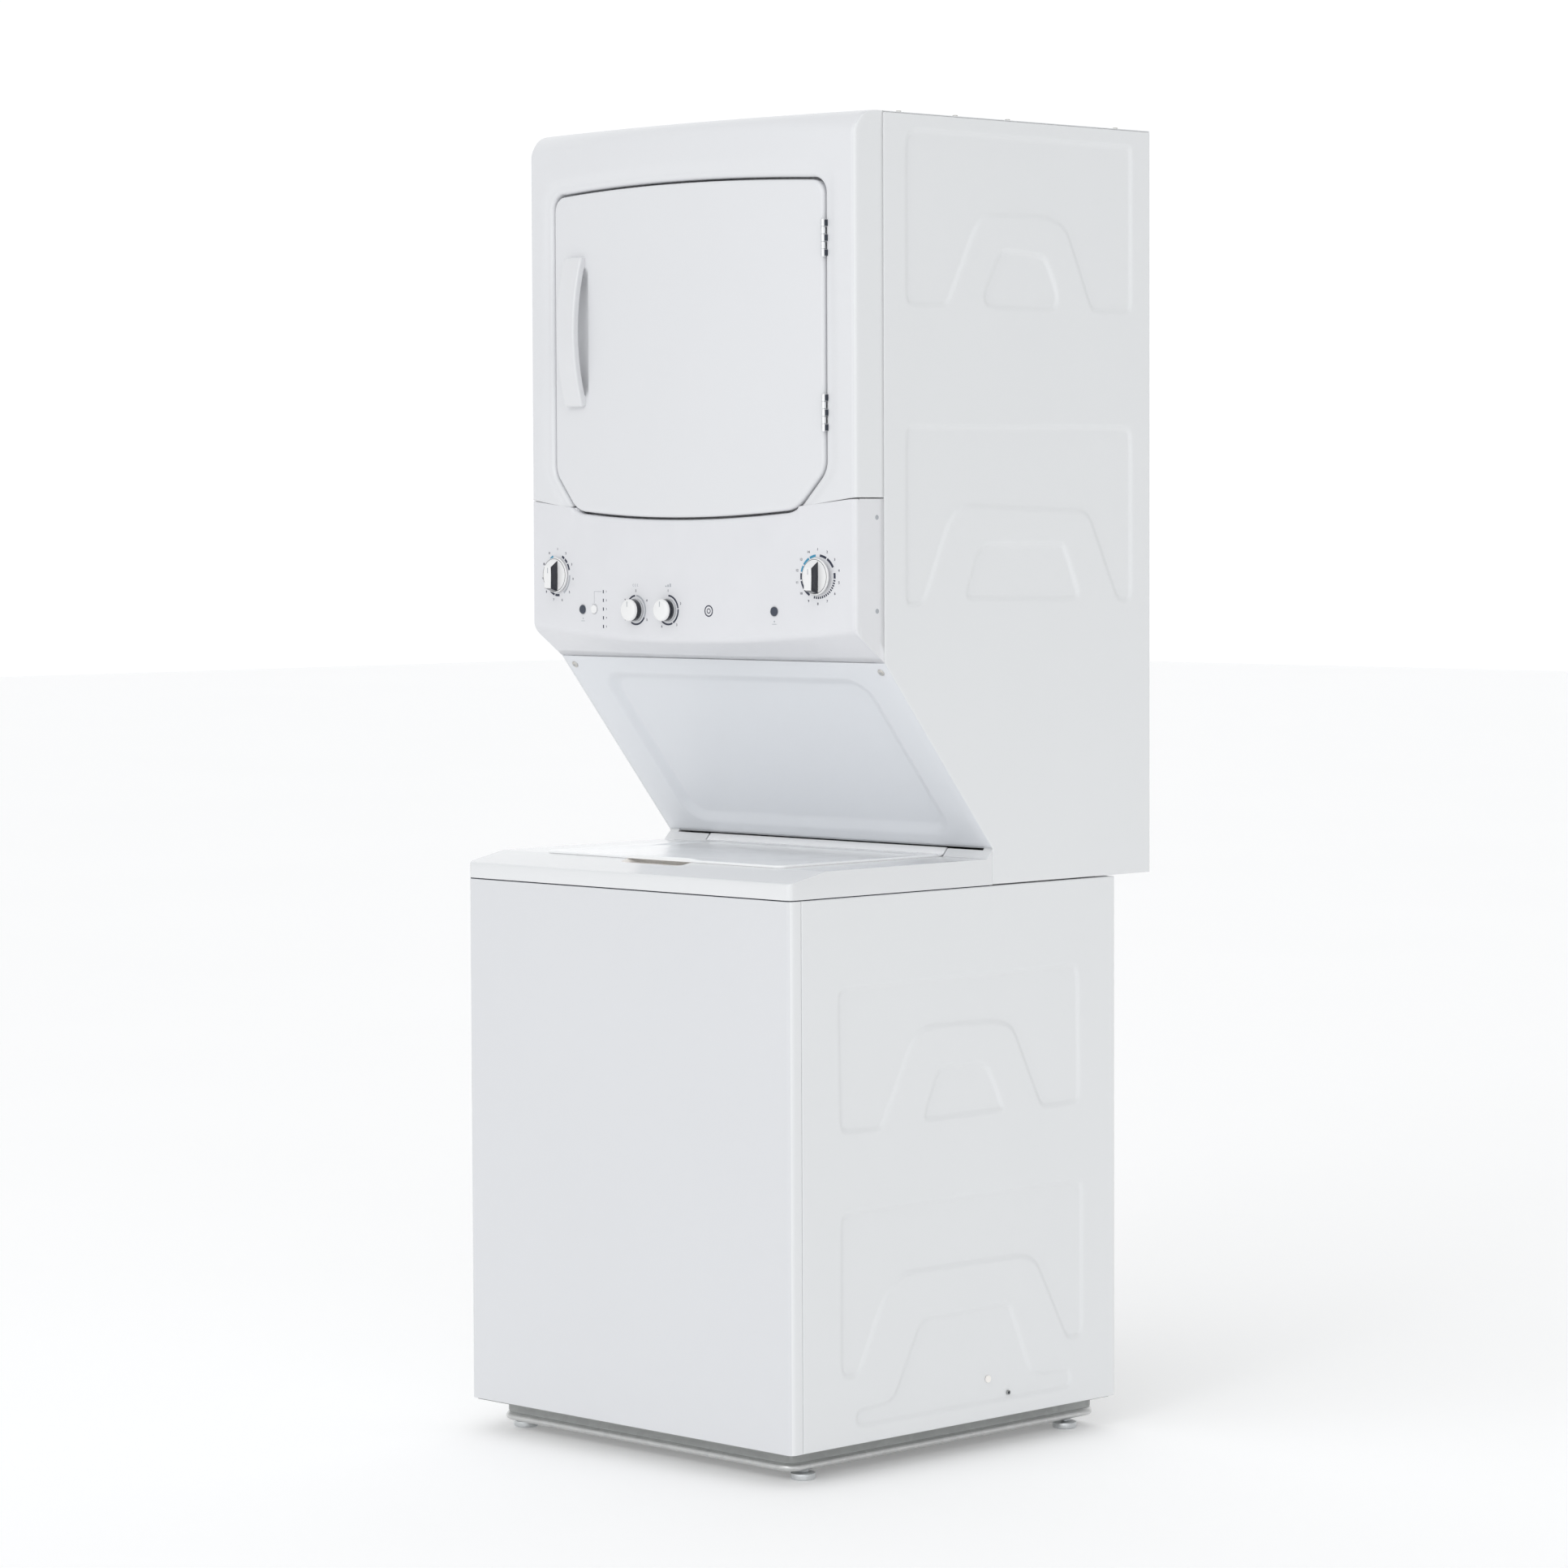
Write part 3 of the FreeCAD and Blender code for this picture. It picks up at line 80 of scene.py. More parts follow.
# ------------------------------------------------------------------ materials
class N:
    """A short way to lay out one material's nodes."""

    def __init__(self, name):
        self.m = bpy.data.materials.new(name)
        self.m.use_nodes = True
        self.t = self.m.node_tree
        self.t.nodes.clear()
        self.out = self.t.nodes.new("ShaderNodeOutputMaterial")
        self.b = self.t.nodes.new("ShaderNodeBsdfPrincipled")
        self.t.links.new(self.b.outputs[0], self.out.inputs[0])
        self.tc = self.t.nodes.new("ShaderNodeTexCoord")

    def link(self, a, b):
        self.t.links.new(a, b)

    def coords(self, scale=(1, 1, 1)):
        mp = self.t.nodes.new("ShaderNodeMapping")
        mp.inputs["Scale"].default_value = scale
        self.link(self.tc.outputs["Object"], mp.inputs["Vector"])
        return mp.outputs[0]

    def noise(self, scale, detail=2.0, rough=0.5, stretch=(1, 1, 1)):
        n = self.t.nodes.new("ShaderNodeTexNoise")
        n.inputs["Scale"].default_value = scale
        n.inputs["Detail"].default_value = detail
        n.inputs["Roughness"].default_value = rough
        self.link(self.coords(stretch), n.inputs["Vector"])
        return n.outputs["Fac"]

    def voronoi(self, scale, stretch=(1, 1, 1)):
        n = self.t.nodes.new("ShaderNodeTexVoronoi")
        n.inputs["Scale"].default_value = scale
        self.link(self.coords(stretch), n.inputs["Vector"])
        return n

    def mrange(self, v, a, b, lo, hi):
        n = self.t.nodes.new("ShaderNodeMapRange")
        n.inputs["From Min"].default_value = a
        n.inputs["From Max"].default_value = b
        n.inputs["To Min"].default_value = lo
        n.inputs["To Max"].default_value = hi
        self.link(v, n.inputs["Value"])
        return n.outputs["Result"]

    def mix(self, f, c1, c2):
        n = self.t.nodes.new("ShaderNodeMix")
        n.data_type = "RGBA"
        n.inputs["A"].default_value = (*c1, 1)
        n.inputs["B"].default_value = (*c2, 1)
        self.link(f, n.inputs["Factor"])
        return n.outputs["Result"]

    def bump(self, v, strength, dist, prev=None):
        n = self.t.nodes.new("ShaderNodeBump")
        n.inputs["Strength"].default_value = strength
        n.inputs["Distance"].default_value = dist
        self.link(v, n.inputs["Height"])
        if prev is not None:
            self.link(prev, n.inputs["Normal"])
        return n.outputs["Normal"]

    def set(self, **k):
        for a, v in k.items():
            self.b.inputs[a.replace("_", " ")].default_value = v
        return self


def shade(c, k):
    return tuple(min(1.0, x * k) for x in c)


def enamel(name, c, rough=0.35, coat=0.22, peel=0.03, spec=0.45):
    n = N(name)
    big = n.noise(3.2, 3.0)
    n.link(n.mix(n.mrange(big, 0.3, 0.7, 0.0, 1.0), shade(c, 0.995), shade(c, 1.004)), n.b.inputs["Base Color"])
    n.link(n.mrange(n.noise(11.0, 2.0), 0.3, 0.7, rough - 0.03, rough + 0.03), n.b.inputs["Roughness"])
    n.link(n.bump(n.noise(42.0, 1.0), peel, 0.0010), n.b.inputs["Normal"])
    n.set(Coat_Weight=coat, Coat_Roughness=0.12, Specular_IOR_Level=spec)
    return n.m


def plastic(name, c, rough=0.35, coat=0.0, grain=420.0, strength=0.08, spec=0.5):
    n = N(name)
    n.link(n.mix(n.mrange(n.noise(14.0, 4.0), 0.3, 0.7, 0.0, 1.0), shade(c, 0.985), shade(c, 1.008)), n.b.inputs["Base Color"])
    n.link(n.mrange(n.noise(70.0, 4.0), 0.3, 0.7, rough - 0.04, rough + 0.04), n.b.inputs["Roughness"])
    n.link(n.bump(n.noise(grain, 3.0), strength, 0.0002), n.b.inputs["Normal"])
    n.set(Coat_Weight=coat, Coat_Roughness=0.15, Specular_IOR_Level=spec)
    return n.m


def metal(name, c, rough=0.3, stretch=(1, 1, 40), scale=220.0, strength=0.10):
    n = N(name)
    br = n.noise(scale, 4.0, 0.6, stretch)
    n.link(n.mix(n.mrange(br, 0.25, 0.75, 0.0, 1.0), shade(c, 0.86), shade(c, 1.08)), n.b.inputs["Base Color"])
    n.link(n.mrange(n.noise(30.0, 4.0), 0.25, 0.75, rough - 0.07, rough + 0.10), n.b.inputs["Roughness"])
    n.link(n.bump(br, strength, 0.0003), n.b.inputs["Normal"])
    n.set(Metallic=1.0)
    return n.m


def galvanised(name, c, rough=0.42):
    n = N(name)
    v = n.voronoi(95.0)
    sp = n.t.nodes.new("ShaderNodeSeparateColor")
    n.link(v.outputs["Color"], sp.inputs[0])
    n.link(n.mix(sp.outputs[0], shade(c, 0.95), shade(c, 1.04)), n.b.inputs["Base Color"])
    n.link(n.mrange(sp.outputs[1], 0.0, 1.0, rough - 0.05, rough + 0.05), n.b.inputs["Roughness"])
    b1 = n.bump(sp.outputs[2], 0.02, 0.0002)
    n.link(n.bump(n.noise(120.0, 3.0), 0.04, 0.0003, b1), n.b.inputs["Normal"])
    n.set(Metallic=0.85)
    return n.m


# the white enamels are copies of one paint, their colour shifted to offset how light falls on each face
M = {
    "white": enamel("white_enamel", (0.808, 0.820, 0.829)),
    # front and dfront: darker copies for the front faces, painted shade against the strong front light
    "front": enamel("white_enamel_front_painted_shade", (0.705, 0.715, 0.735), 0.35, 0.25),
    "dfront": enamel("white_enamel_dryer_front_painted_shade", (0.738, 0.746, 0.764), 0.35, 0.25),
    # slant: lighter bluish copy for the downward-facing panel, painted light
    "slant": enamel("white_enamel_slant_painted_light", (0.745, 0.765, 0.795), 0.35, 0.20),
    "deck": enamel("white_porcelain", (0.775, 0.785, 0.795), 0.17, 0.40, 0.006),
    # lid: much lighter copy of the porcelain, painted light
    "lid": enamel("white_porcelain_lid_painted_light", (0.955, 0.962, 0.970), 0.17, 0.45, 0.006),
    # beige: the side plugs' own colour, and on the lid scoop painted bounce light in the shaded scoop
    "beige": plastic("plug_beige_and_scoop_painted_bounce", (0.97, 0.94, 0.90), 0.4),
    # fascia and fside are one plastic: fside is a lighter copy for the faces turned to the sides, painted light
    "fascia": plastic("white_plastic", (0.735, 0.740, 0.764), 0.33, 0.10, 150.0, 0.03),
    "fside": plastic("white_plastic_side_painted_light", (0.780, 0.786, 0.804), 0.33, 0.10, 150.0, 0.03),
    "handle": plastic("white_handle_plastic", (0.725, 0.732, 0.748), 0.35, 0.2, 150.0, 0.03),
    "knob": plastic("white_knob_plastic", (0.84, 0.842, 0.842), 0.21, 0.25, 520.0, 0.04),
    # knobdark: the knobs' dark plastic, also used on the large grips as painted shade on the faces turned right and
    # down
    "knobdark": plastic("knob_dark_plastic_and_grip_shade", (0.010, 0.012, 0.020), 0.22, 0.3, 420.0, 0.05),
    "ring": plastic("knob_base_grey", (0.52, 0.53, 0.55), 0.34, 0.2),
    "slate": plastic("button_slate", (0.045, 0.055, 0.080), 0.36, 0.1),
    # shadow: near-black put in gaps, slots and holes, painted shade
    "shadow": plastic("gap_painted_shade", (0.050, 0.056, 0.070), 0.75, 0.0, 300.0, 0.15, 0.1),
    "liner": plastic("recess_grey", (0.50, 0.53, 0.58), 0.5, 0.0, 300.0, 0.1),
    "navy": plastic("print_navy", (0.022, 0.028, 0.055), 0.45, 0.0, 500.0, 0.05),
    "blue": plastic("print_blue", (0.040, 0.270, 0.440), 0.45, 0.0, 500.0, 0.05),
    "grey": plastic("print_grey_and_slot_shade", (0.42, 0.44, 0.47), 0.45, 0.0, 500.0, 0.05),
    "galv": galvanised("galvanised_steel", (0.35, 0.36, 0.355)),
    # galvlip: lighter copy of the galvanised steel for the pan's rolled bead, painted highlight
    "galvlip": galvanised("galvanised_bead_painted_highlight", (0.66, 0.665, 0.66), 0.34),
    "foot": metal("foot_steel", (0.70, 0.72, 0.73), 0.37, (1, 1, 6), 160.0),
    "zinc": metal("zinc_screw", (0.62, 0.61, 0.58), 0.37, (8, 8, 1), 200.0),
    "nickel": metal("nickel_hinge", (0.90, 0.91, 0.92), 0.37, (1, 1, 30), 160.0),
    "steel": metal("inner_steel", (0.55, 0.56, 0.57), 0.36),
    "basket": metal("basket_steel", (0.62, 0.63, 0.64), 0.37, (1, 1, 60), 120.0),
    "tub": plastic("tub_plastic", (0.55, 0.57, 0.58), 0.5),
    "agitator": plastic("agitator_plastic", (0.72, 0.74, 0.76), 0.4),
    "casting": metal("die_casting", (0.46, 0.47, 0.48), 0.55, (1, 1, 1), 300.0, 0.3),
    "motor": enamel("motor_enamel", (0.03, 0.032, 0.035), 0.4, 0.1),
    "rubber": plastic("belt_rubber", (0.015, 0.015, 0.016), 0.75, 0.0, 900.0, 0.3, 0.3),
    "black": plastic("black_plastic", (0.018, 0.018, 0.020), 0.45),
    "drum": enamel("drum_enamel", (0.66, 0.67, 0.68), 0.35, 0.3),
    "filter": plastic("filter_grey", (0.40, 0.42, 0.45), 0.5),
    "valve": plastic("valve_plastic", (0.09, 0.095, 0.10), 0.5),
}
SLOT = {
    "white_paint": "white", "white_panel": "slant", "white_plastic": "fascia", "white_handle": "handle", "knob_white": "knob",
    "button_dark": "slate", "lens_dark": "navy", "galvanised": "galv", "foot_steel": "foot", "screw_steel": "zinc",
    "hinge_steel": "nickel", "inner_steel": "steel", "tub_plastic": "tub", "basket_steel": "basket", "agitator_plastic": "agitator",
    "casting": "casting", "motor_shell": "motor", "belt_rubber": "rubber", "black_plastic": "black", "duct_steel": "galv",
    "drum_enamel": "drum", "baffle_plastic": "agitator", "filter_frame": "filter", "valve_plastic": "valve"}
for sp_ in frame["record"]["subparts"]:
    o_ = frame["nodes"].get(sp_["node"])
    if o_ is not None:
        o_.data.materials.clear()
        o_.data.materials.append(M[SLOT[sp_["material_slot"]]])


# ------------------------------------------------------------------ mesh kit
class MB:
    def __init__(self):
        self.v, self.f, self.m = [], [], []

    def add(self, vs, fs, m=0):
        b = len(self.v)
        self.v += [tuple(float(c) for c in p) for p in vs]
        self.f += [tuple(i + b for i in f) for f in fs]
        self.m += [m] * len(fs)

    def grid(self, rows, closed=False, m=0):
        n = len(rows[0])
        vs = [p for r in rows for p in r]
        fs = []
        for j in range(len(rows) - 1):
            for i in range(n if closed else n - 1):
                k = (i + 1) % n
                fs.append((j * n + i, j * n + k, (j + 1) * n + k, (j + 1) * n + i))
        self.add(vs, fs, m)

    def ngon(self, pts, m=0):
        self.add(pts, [tuple(range(len(pts)))], m)

    def fan(self, pts, c, m=0):
        n = len(pts)
        self.add(list(pts) + [c], [(i, (i + 1) % n, n) for i in range(n)], m)

    def rings(self, rows, cap0=True, cap1=True, m=0):
        self.grid(rows, True, m)
        if cap0:
            self.ngon(rows[0], m)
        if cap1:
            self.ngon(rows[-1], m)

    def prism(self, pts, a, b, axis="x", m=0):
        def q(p, t):
            return {"x": (t, p[0], p[1]), "y": (p[0], t, p[1]), "z": (p[0], p[1], t)}[axis]
        self.rings([[q(p, a) for p in pts], [q(p, b) for p in pts]], m=m)

    def box(self, x0, x1, y0, y1, z0, z1, m=0):
        self.prism([(x0, y0), (x1, y0), (x1, y1), (x0, y1)], z0, z1, "z", m)

    def lathe(self, prof, c, axis="z", seg=48, m=0):
        # prof: (radius, distance along axis); c: where distance 0 is
        rows = []
        for r, t in prof:
            row = []
            for i in range(seg):
                a = 2 * math.pi * i / seg
                u, w = max(r, 1e-4) * math.cos(a), max(r, 1e-4) * math.sin(a)
                row.append({"z": (c[0] + u, c[1] + w, c[2] + t), "y": (c[0] + u, c[1] + t, c[2] + w),
                            "x": (c[0] + t, c[1] + u, c[2] + w)}[axis])
            rows.append(row)
        self.rings(rows, m=m)

    def lathe_dir(self, prof, c, d, seg=32, m=0):
        d = Vector(d).normalized()
        a = d.orthogonal().normalized()
        b = d.cross(a)
        rows = []
        for r, t in prof:
            rows.append([tuple(Vector(c) + d * t + (a * math.cos(2 * math.pi * i / seg) + b * math.sin(2 * math.pi * i / seg)) * max(r, 1e-4)) for i in range(seg)])
        self.rings(rows, m=m)


def make(name, mb, mats, body="cabinet", rep=(), weld=0.004, sharp=32.0, bevel=None, seg=3, angle=30.0, show=True, post=None, recalc=True):
    me = bpy.data.meshes.new(name)
    me.from_pydata([P(v) for v in mb.v], [], mb.f)
    mats = [mats] if isinstance(mats, str) else list(mats)
    for k in mats:
        me.materials.append(M[k])
    me.polygons.foreach_set("material_index", mb.m)
    bm = bmesh.new()
    bm.from_mesh(me)
    bmesh.ops.remove_doubles(bm, verts=bm.verts, dist=weld * 0.001)
    bmesh.ops.dissolve_degenerate(bm, edges=bm.edges, dist=weld * 0.0005)
    if recalc:
        bmesh.ops.recalc_face_normals(bm, faces=bm.faces)
    if post:
        post(bm)
    bm.to_mesh(me)
    bm.free()
    me.polygons.foreach_set("use_smooth", [True] * len(me.polygons))
    o = bpy.data.objects.new(name, me)
    scene.collection.objects.link(o)
    if bevel:
        b = o.modifiers.new("bevel", "BEVEL")
        b.width = bevel * 0.001
        b.segments = seg
        b.limit_method = "ANGLE"
        b.angle_limit = math.radians(angle)
        b.harden_normals = True
        b.miter_outer = "MITER_ARC"
    else:
        me.set_sharp_from_angle(angle=math.radians(sharp))
    if show:
        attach(o, body)
        if rep:
            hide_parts(*rep)
    return o


def outward(ref, side=None):
    # turns every face away from a point behind it; faces towards the sides can take a second material, a lighter copy
    # that paints light on the sides
    r_ = Vector(P(ref))

    def f_(bm):
        for f in bm.faces:
            if f.normal.dot(f.calc_center_median() - r_) < 0:
                f.normal_flip()
        if side is not None:
            for f in bm.faces:
                if abs(f.normal.x) > 0.72:
                    f.material_index = side
    return f_


def front_side(bm):
    flat = [f for f in bm.faces if abs(f.normal.y) > 0.9 and f.calc_center_median().y < (140.0 + OY) * 0.001]
    if sum(f.normal.y for f in flat) > 0:
        bmesh.ops.reverse_faces(bm, faces=bm.faces)
    # faces turned to the sides take material 1, the lighter white copy: painted light on the side returns
    for f in bm.faces:
        if abs(f.normal.x) > 0.72 and abs(f.calc_center_median().x) > 0.331:
            f.material_index = 1


def arc3(p0, pm, p1, n):
    # n + 1 points on the circle through three points, from p0 to p1
    ax, ay = p0
    bx, by = pm
    cx, cy = p1
    d = 2 * (ax * (by - cy) + bx * (cy - ay) + cx * (ay - by))
    ux = ((ax * ax + ay * ay) * (by - cy) + (bx * bx + by * by) * (cy - ay) + (cx * cx + cy * cy) * (ay - by)) / d
    uy = ((ax * ax + ay * ay) * (cx - bx) + (bx * bx + by * by) * (ax - cx) + (cx * cx + cy * cy) * (bx - ax)) / d
    r = math.hypot(ax - ux, ay - uy)
    a0, am, a1 = (math.atan2(y - uy, x - ux) for x, y in (p0, pm, p1))
    s = (am - a0) % (2 * math.pi)
    e = (a1 - a0) % (2 * math.pi)
    if s > e:
        e -= 2 * math.pi
    return [(ux + r * math.cos(a0 + e * i / n), uy + r * math.sin(a0 + e * i / n)) for i in range(n + 1)]


def line(p0, p1, n):
    return [(p0[0] + (p1[0] - p0[0]) * i / n, p0[1] + (p1[1] - p0[1]) * i / n) for i in range(n + 1)]


def fillet(pts, rad, n=5):
    # rounds each corner of a closed outline with its own radius
    out = []
    L = len(pts)
    for i in range(L):
        p, a, b = Vector(pts[i]), Vector(pts[i - 1]), Vector(pts[(i + 1) % L])
        r = rad[i] if isinstance(rad, (list, tuple)) else rad
        if r <= 0:
            out += [tuple(p)] * (n + 1)
            continue
        u, w = (a - p).normalized(), (b - p).normalized()
        th = math.acos(max(-1, min(1, u.dot(w))))
        t = r / math.tan(th / 2)
        t = min(t, (a - p).length * 0.49, (b - p).length * 0.49)
        for k in range(n + 1):
            s = k / n
            q = (p + u * t) * (1 - s) ** 2 + p * 2 * s * (1 - s) + (p + w * t) * s ** 2
            out.append(tuple(q))
    return out


def sstep(a, b, x):
    t = np.clip((np.asarray(x, float) - a) / (b - a), 0, 1)
    return t * t * (3 - 2 * t)


def rrect(x0, x1, y0, y1, r, ns=(40, 24), nc=8):
    # rounded rectangle, counter-clockwise, always the same number of points
    r = max(r, 0.01)
    out = []
    for (ax, ay), (bx, by), n, (cx, cy), a0 in (
            ((x0 + r, y0), (x1 - r, y0), ns[0], (x1 - r, y0 + r), -90), ((x1, y0 + r), (x1, y1 - r), ns[1], (x1 - r, y1 - r), 0),
            ((x1 - r, y1), (x0 + r, y1), ns[0], (x0 + r, y1 - r), 90), ((x0, y1 - r), (x0, y0 + r), ns[1], (x0 + r, y0 + r), 180)):
        for i in range(n):
            out.append((ax + (bx - ax) * i / n, ay + (by - ay) * i / n))
        for i in range(nc):
            a = math.radians(a0 + 90.0 * i / nc)
            out.append((cx + r * math.cos(a), cy + r * math.sin(a)))
    return out


def poly_sdf(pts, Y, Z):
    # signed distance to a closed outline: negative inside
    d = np.full(Y.shape, 1e9)
    inside = np.zeros(Y.shape, bool)
    n = len(pts)
    for i in range(n):
        (ay, az), (by, bz) = pts[i], pts[(i + 1) % n]
        ey, ez = by - ay, bz - az
        t = np.clip(((Y - ay) * ey + (Z - az) * ez) / max(ey * ey + ez * ez, 1e-9), 0, 1)
        d = np.minimum(d, np.hypot(Y - ay - ey * t, Z - az - ez * t))
        c = ((az > Z) != (bz > Z)) & (Y < (by - ay) * (Z - az) / ((bz - az) if bz != az else 1e-9) + ay)
        inside ^= c
    return np.where(inside, -d, d)


# ------------------------------------------------------------------ shape constants (mm)
HX = 339.75
HXF = 339.45
BULGE, YC = 24.0, 132.5
Y_SEAM = 190.65
DOOR_HX, DOOR_TOP, DOOR_BOT = 281.6, 1838.6, 1357.4
GAP = 3.2
SLT, SLB = (190.65, 1151.2), (413.6, 877.5)
SLL = math.hypot(SLB[0] - SLT[0], SLB[1] - SLT[1])
SLD = ((SLB[0] - SLT[0]) / SLL, (SLB[1] - SLT[1]) / SLL)
SLN = (-SLD[1], SLD[0])


def yf(x):
    return YC - BULGE * (1.0 - (x / HX) ** 2)


def yd(x):
    return 129.0 - 18.0 * (1.0 - (x / DOOR_HX) ** 2)


def seam(x):
    return 1373.7 + (1384.5 - 1373.7) * (abs(x) - 238.0) / (HX - 238.0)


def door_outline(g):
    # closed outline of the door grown by g, clockwise from the lower left of the side, as (x, z)
    hx, zt, zb = DOOR_HX + g, DOOR_TOP + g, DOOR_BOT - g
    k = g * 0.41
    l0, l1 = (-hx, DOOR_TOP - 27.0), (-hx, 1436.0 - k)
    c0, c1 = (-272.5 - g * 0.72, 1414.0 - g * 0.7), (-238.0 - g * 0.7, 1376.5 - g * 0.72)
    b0 = (-205.0 - k, 1366.0 - g)
    t0 = (-(DOOR_HX - 23.0), zt - 6.6)
    mt = lambda p: (-p[0], p[1])
    segs = [
        line(c1, c0, 8)[:-1], arc3(c0, (-278.9 - g * 0.9, 1424.3 - g * 0.5), l1, 8)[:-1], line(l1, l0, 56)[:-1],
        arc3(l0, (-hx + 6.7, zt - 13.3), t0, 12)[:-1], arc3(t0, (0, zt), mt(t0), 80)[:-1],
        arc3(mt(t0), (hx - 6.7, zt - 13.3), mt(l0), 12)[:-1], line(mt(l0), mt(l1), 56)[:-1],
        arc3(mt(l1), (278.9 + g * 0.9, 1424.3 - g * 0.5), mt(c0), 8)[:-1], line(mt(c0), mt(c1), 8)[:-1],
        arc3(mt(c1), (222.5 + g * 0.5, 1368.6 - g * 0.92), mt(b0), 6)[:-1],
        arc3(mt(b0), (0, zb), b0, 64)[:-1], arc3(b0, (-222.5 - g * 0.5, 1368.6 - g * 0.92), c1, 6)[:-1]]
    return [p for s in segs for p in s]


def offset_loop(pts, d):
    # moves a closed outline by d along its outward normals (outline runs clockwise in x, z)
    n = len(pts)
    out = []
    for i in range(n):
        a, b = pts[i - 1], pts[(i + 1) % n]
        tx, tz = b[0] - a[0], b[1] - a[1]
        L = math.hypot(tx, tz) or 1.0
        out.append((pts[i][0] - tz / L * d, pts[i][1] + tx / L * d))
    return out


# ================================================================== WASHER
# front panel: one sheet wrapped round both corners
def plan_front(x1, y1, r, n=10):
    pts = [(-x1, y1)]
    for i in range(n + 1):
        a = math.radians(180 + 90 * i / n)
        pts.append((-x1 + r + r * math.cos(a), r + r * math.sin(a)))
    for i in range(n + 1):
        a = math.radians(270 + 90 * i / n)
        pts.append((x1 - r + r * math.cos(a), r + r * math.sin(a)))
    pts.append((x1, y1))
    return pts


mb = MB()
mb.prism(plan_front(HX, 22.0, 9.0), 46.7, 823.4, "z")
make("washer_front_panel_skin", mb, ["front", "white"], post=front_side, rep=["washer_front_panel"], bevel=1.0)

# pressed side panels ------------------------------------------------
EMB = {
    "U1": [(237, 1894), (236, 1663), (248, 1655), (309, 1656), (323, 1658), (386, 1776), (407, 1787), (531, 1790), (573, 1775), (627, 1661), (637, 1656), (713, 1656), (718, 1664), (718, 1898), (713, 1903), (251, 1905)],
    "U1i": [(433, 1743), (395, 1674), (404, 1656), (552, 1655), (559, 1679), (530, 1736)],
    "U2": [(236, 1480), (235, 1238), (240, 1231), (272, 1232), (327, 1351), (353, 1371), (620, 1362), (682, 1240), (690, 1231), (713, 1230), (718, 1244), (718, 1480), (708, 1489), (243, 1486)],
    "U2i": [(355, 1238), (383, 1309), (402, 1319), (565, 1319), (572, 1312), (603, 1246), (596, 1234)],
    "W1": [(95, 696), (98, 498), (108, 491), (176, 489), (185, 494), (248, 611), (268, 623), (288, 627), (417, 625), (454, 616), (515, 497), (525, 491), (594, 492), (602, 502), (599, 698)],
    "W1i": [(266, 496), (296, 563), (308, 570), (398, 568), (413, 548), (437, 501), (437, 495), (288, 493)],
    "W2": [(100, 378), (99, 154), (108, 143), (133, 142), (188, 249), (223, 275), (247, 278), (482, 276), (507, 263), (569, 150), (578, 143), (600, 143), (608, 152), (608, 369), (603, 378)],
    "W2i": [(129, 97), (203, 100), (259, 205), (271, 210), (449, 213), (457, 196), (498, 103), (582, 99), (582, 70), (129, 70)],
}


def chaikin(pts, it=2):
    for _ in range(it):
        out = []
        for i in range(len(pts)):
            a, b = pts[i], pts[(i + 1) % len(pts)]
            L = math.hypot(b[0] - a[0], b[1] - a[1])
            t = min(0.25, 9.0 / max(L, 1e-6))
            out.append((a[0] + (b[0] - a[0]) * t, a[1] + (b[1] - a[1]) * t))
            out.append((b[0] + (a[0] - b[0]) * t, b[1] + (a[1] - b[1]) * t))
        pts = out
    return pts


def emboss(Y, Z, names, depth, w=5.0):
    h = np.zeros(Y.shape)
    for nme in names:
        d = poly_sdf(chaikin(EMB[nme]), Y, Z)
        h = np.maximum(h, depth * (1.0 - sstep(-w, w * 0.2, d)))
    return h


def side_panel(sx, z0, z1, y_lo, y_hi, nz, ny, names, depth, zkeys=(), inset=0.0):
    zs = sorted(set(list(np.linspace(z0, z1, nz)) + list(zkeys)))
    vs = np.linspace(0, 1, ny)
    yl = np.array([y_lo(z) for z in zs])
    Y = yl[:, None] + (y_hi - yl)[:, None] * vs[None, :]
    Z = np.repeat(np.array(zs)[:, None], ny, 1)
    H = emboss(Y, Z, names, depth)
    # keep the border flat
    r = 1.6
    ext = [(19.0, 0.0), (r * 1.2, 0.0), (r * 0.45, 0.13 * r), (0.0, r)]     # (depth behind the skin, distance in from the edge)
    rows = []
    nzr = len(zs)

    def row(zi, z, dz):
        y0, y1 = Y[zi, 0], y_hi
        ins = inset if (inset and 877.4 < zs[zi] < 1151.3) else 0.0
        line_ = []
        for dd, e in ext:
            dep = max(dd, dz)
            line_.append((y0 + e + (ins if dep > 1.3 else 0.0), dep, z))
        for j in range(1, ny - 1):
            line_.append((Y[zi, j], max(H[zi, j] if dz == 0 else 0.0, dz), z))
        for dd, e in reversed(ext):
            line_.append((y1 - e, max(dd, dz), z))
        return [(sx * (HX - d_), y_, z_) for y_, d_, z_ in line_]
    for dd, e in ext[:-1]:
        rows.append(row(0, z0 + e, dd))
    for i in range(nzr):
        z = zs[i] if 0 < i < nzr - 1 else (z0 + r if i == 0 else z1 - r)
        rows.append(row(i, z, 0.0))
    for dd, e in reversed(ext[:-1]):
        rows.append(row(nzr - 1, z1 - e, dd))
    m_ = MB()
    m_.grid(rows)
    # closed at the back by the outline of the flanges
    edge = [r_[0] for r_ in rows] + rows[-1][1:] + [r_[-1] for r_ in reversed(rows[:-1])] + list(reversed(rows[0][1:-1]))
    m_.ngon(edge)
    return m_


